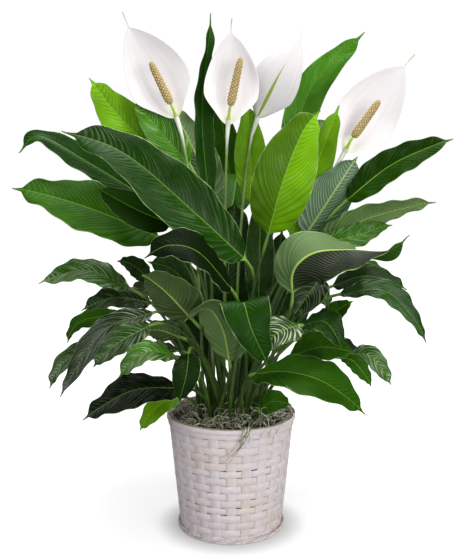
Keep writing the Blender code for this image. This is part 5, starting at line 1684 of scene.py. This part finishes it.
# Softboxes: name, place, target, width and height, power and tint.
SOFTBOXES = (
    ("softbox_top", (0.25, -0.1, 1.9), (0, 0, 0.35), (1.8, 1.2), 47, (1.0, 0.99, 0.97)),
    ("softbox_left", (-1.5, -1.1, 0.7), (0, 0, 0.3), (1.2, 1.4), 12, (0.97, 0.98, 1.0)),
    ("softbox_right", (1.5, -1.4, 0.8), (0, 0, 0.3), (1.2, 1.4), 31, (1.0, 1.0, 0.98)),
    ("softbox_front", (0.3, -2.2, 0.35), (0, 0, 0.2), (1.4, 0.6), 11, WHITE),
)


def matt_white_paper():
    """A paper sweep: matt grey, kept white by a glow that only the camera sees.  The glow is weaker
    where the paper meets the basket, a painted contact shadow, and stronger far out, a painted light.
    """
    paper, tree, shader, place = start_material("matt_white_paper")
    away = add_node(tree, "ShaderNodeVectorMath", [place], operation="LENGTH")
    # Painted shadow round the basket's foot, and painted light far out where the lamps fall off.
    glow = add_node(tree, "ShaderNodeMapRange", [away, 0.068, 0.115, 0.35, 0.78], **EASED)
    far = add_node(tree, "ShaderNodeMapRange", [away, 0.15, 0.6, 0.0, 0.3])
    both = add_node(tree, "ShaderNodeMath", [glow, far], operation="ADD")
    seen = add_node(tree, "ShaderNodeLightPath").outputs["Is Camera Ray"]
    shown = add_node(tree, "ShaderNodeMath", [both, seen], operation="MULTIPLY")
    fill(tree, shader, {"Emission Strength": shown, "Emission Color": WHITE, "Base Color": (0.3, 0.3, 0.3),
                        "Roughness": 1.0, "Specular IOR Level": 0.0})
    return paper


def studio_white():
    """A white backdrop that lights the plant softly."""
    world = bpy.data.worlds.new("studio_white")
    world.use_nodes = True
    tree = world.node_tree
    rays = add_node(tree, "ShaderNodeLightPath").outputs
    level = add_node(tree, "ShaderNodeMapRange", {0: rays["Is Camera Ray"], 3: 0.12, 4: 1.02})
    # Leaves that lean to the left mirror a white card behind the plant.
    heading = add_node(tree, "ShaderNodeTexCoord").outputs["Generated"]
    split = add_node(tree, "ShaderNodeVectorMath", [heading, (-0.62, 0.68, 0.39)], operation="DOT_PRODUCT")
    behind = add_node(tree, "ShaderNodeMapRange", [split, 0.6, 0.95, 0.0, 1.3], **EASED)
    sheen = add_node(tree, "ShaderNodeMath", [behind, rays["Is Glossy Ray"], level],
                     operation="MULTIPLY_ADD")
    fill(tree, tree.nodes["Background"], {"Color": WHITE, "Strength": sheen})
    return world


def add_light(name, place, target, across, power, tint):
    lamp = bpy.data.lights.new(name, "AREA")
    lamp.shape = "RECTANGLE"
    lamp.size, lamp.size_y = across
    lamp.energy = power
    lamp.color = tint
    thing = bpy.data.objects.new(name, lamp)
    thing.location = place
    aim = Vector(target) - Vector(place)
    thing.rotation_euler = aim.to_track_quat("-Z", "Y").to_euler()
    bpy.context.scene.collection.objects.link(thing)


class BuildStage(bpy.types.Operator):
    """Set the pale floor, the soft studio light and the photo's camera"""
    bl_idname = "peace_lily.stage"
    bl_label = "Studio stage"

    def execute(self, context):
        scene = context.scene
        corners = [(x * FLOOR_REACH, y * FLOOR_REACH, 0) for x, y in ((-1, -1), (1, -1), (1, 1), (-1, 1))]
        mesh = bpy.data.meshes.new("studio_floor")
        mesh.from_pydata(corners, [], [(0, 1, 2, 3)])
        mesh.materials.append(matt_white_paper())
        floor = bpy.data.objects.new("studio_floor", mesh)
        floor.location.z = -0.2 * MM
        scene.collection.objects.link(floor)
        scene.world = studio_white()
        scene.view_settings.view_transform = "Standard"
        for softbox in SOFTBOXES:
            add_light(*softbox)
        lens = bpy.data.cameras.new("photo_camera")
        lens.sensor_width = SENSOR
        lens.lens = PHOTO_FOCAL / PHOTO_HEIGHT * SENSOR
        lens.shift_x = PHOTO_SHIFT / PHOTO_HEIGHT
        camera = bpy.data.objects.new("photo_camera", lens)
        camera.location = EYE
        camera.rotation_euler = (math.radians(90 - PITCH), 0, 0)
        scene.collection.objects.link(camera)
        scene.camera = camera
        return {"FINISHED"}


class LilyPanel(bpy.types.Panel):
    """Sizes, colours and builders of the potted peace lily"""
    bl_idname = "VIEW3D_PT_peace_lily"
    bl_label = "Potted Peace Lily"
    bl_space_type = "VIEW_3D"
    bl_region_type = "UI"
    bl_category = "Peace Lily"

    def draw(self, context):
        for key in GROUPS:
            group = getattr(context.scene, key)
            box = self.layout.box()
            for name in group.__annotations__:
                box.prop(group, name)
        for operator in OPERATORS:
            self.layout.operator(operator.bl_idname)


OPERATORS = (BuildLeaves, BuildBlooms, BuildBasketWall, BuildBasketBands, BuildPotAndSoil, BuildMoss,
             BuildStage)
GROUPS = {"lily_sizes": PlantSizes, "lily_basket": BasketSizes, "lily_moss": MossSizes,
          "lily_colours": PlantColours}


def register():
    for kind in (*GROUPS.values(), *OPERATORS, LilyPanel):
        bpy.utils.register_class(kind)
    for name, kind in GROUPS.items():
        setattr(bpy.types.Scene, name, PointerProperty(type=kind))


def unregister():
    for name in GROUPS:
        delattr(bpy.types.Scene, name)
    for kind in (LilyPanel, *OPERATORS[::-1], *tuple(GROUPS.values())[::-1]):
        bpy.utils.unregister_class(kind)


def main():
    register()
    bpy.ops.peace_lily.leaves()
    bpy.ops.peace_lily.blooms()
    bpy.ops.peace_lily.basket_wall()
    bpy.ops.peace_lily.basket_bands()
    bpy.ops.peace_lily.pot_and_soil()
    bpy.ops.peace_lily.moss()
    bpy.ops.peace_lily.stage()
    bpy.context.view_layer.update()


if __name__ == "__main__":
    main()
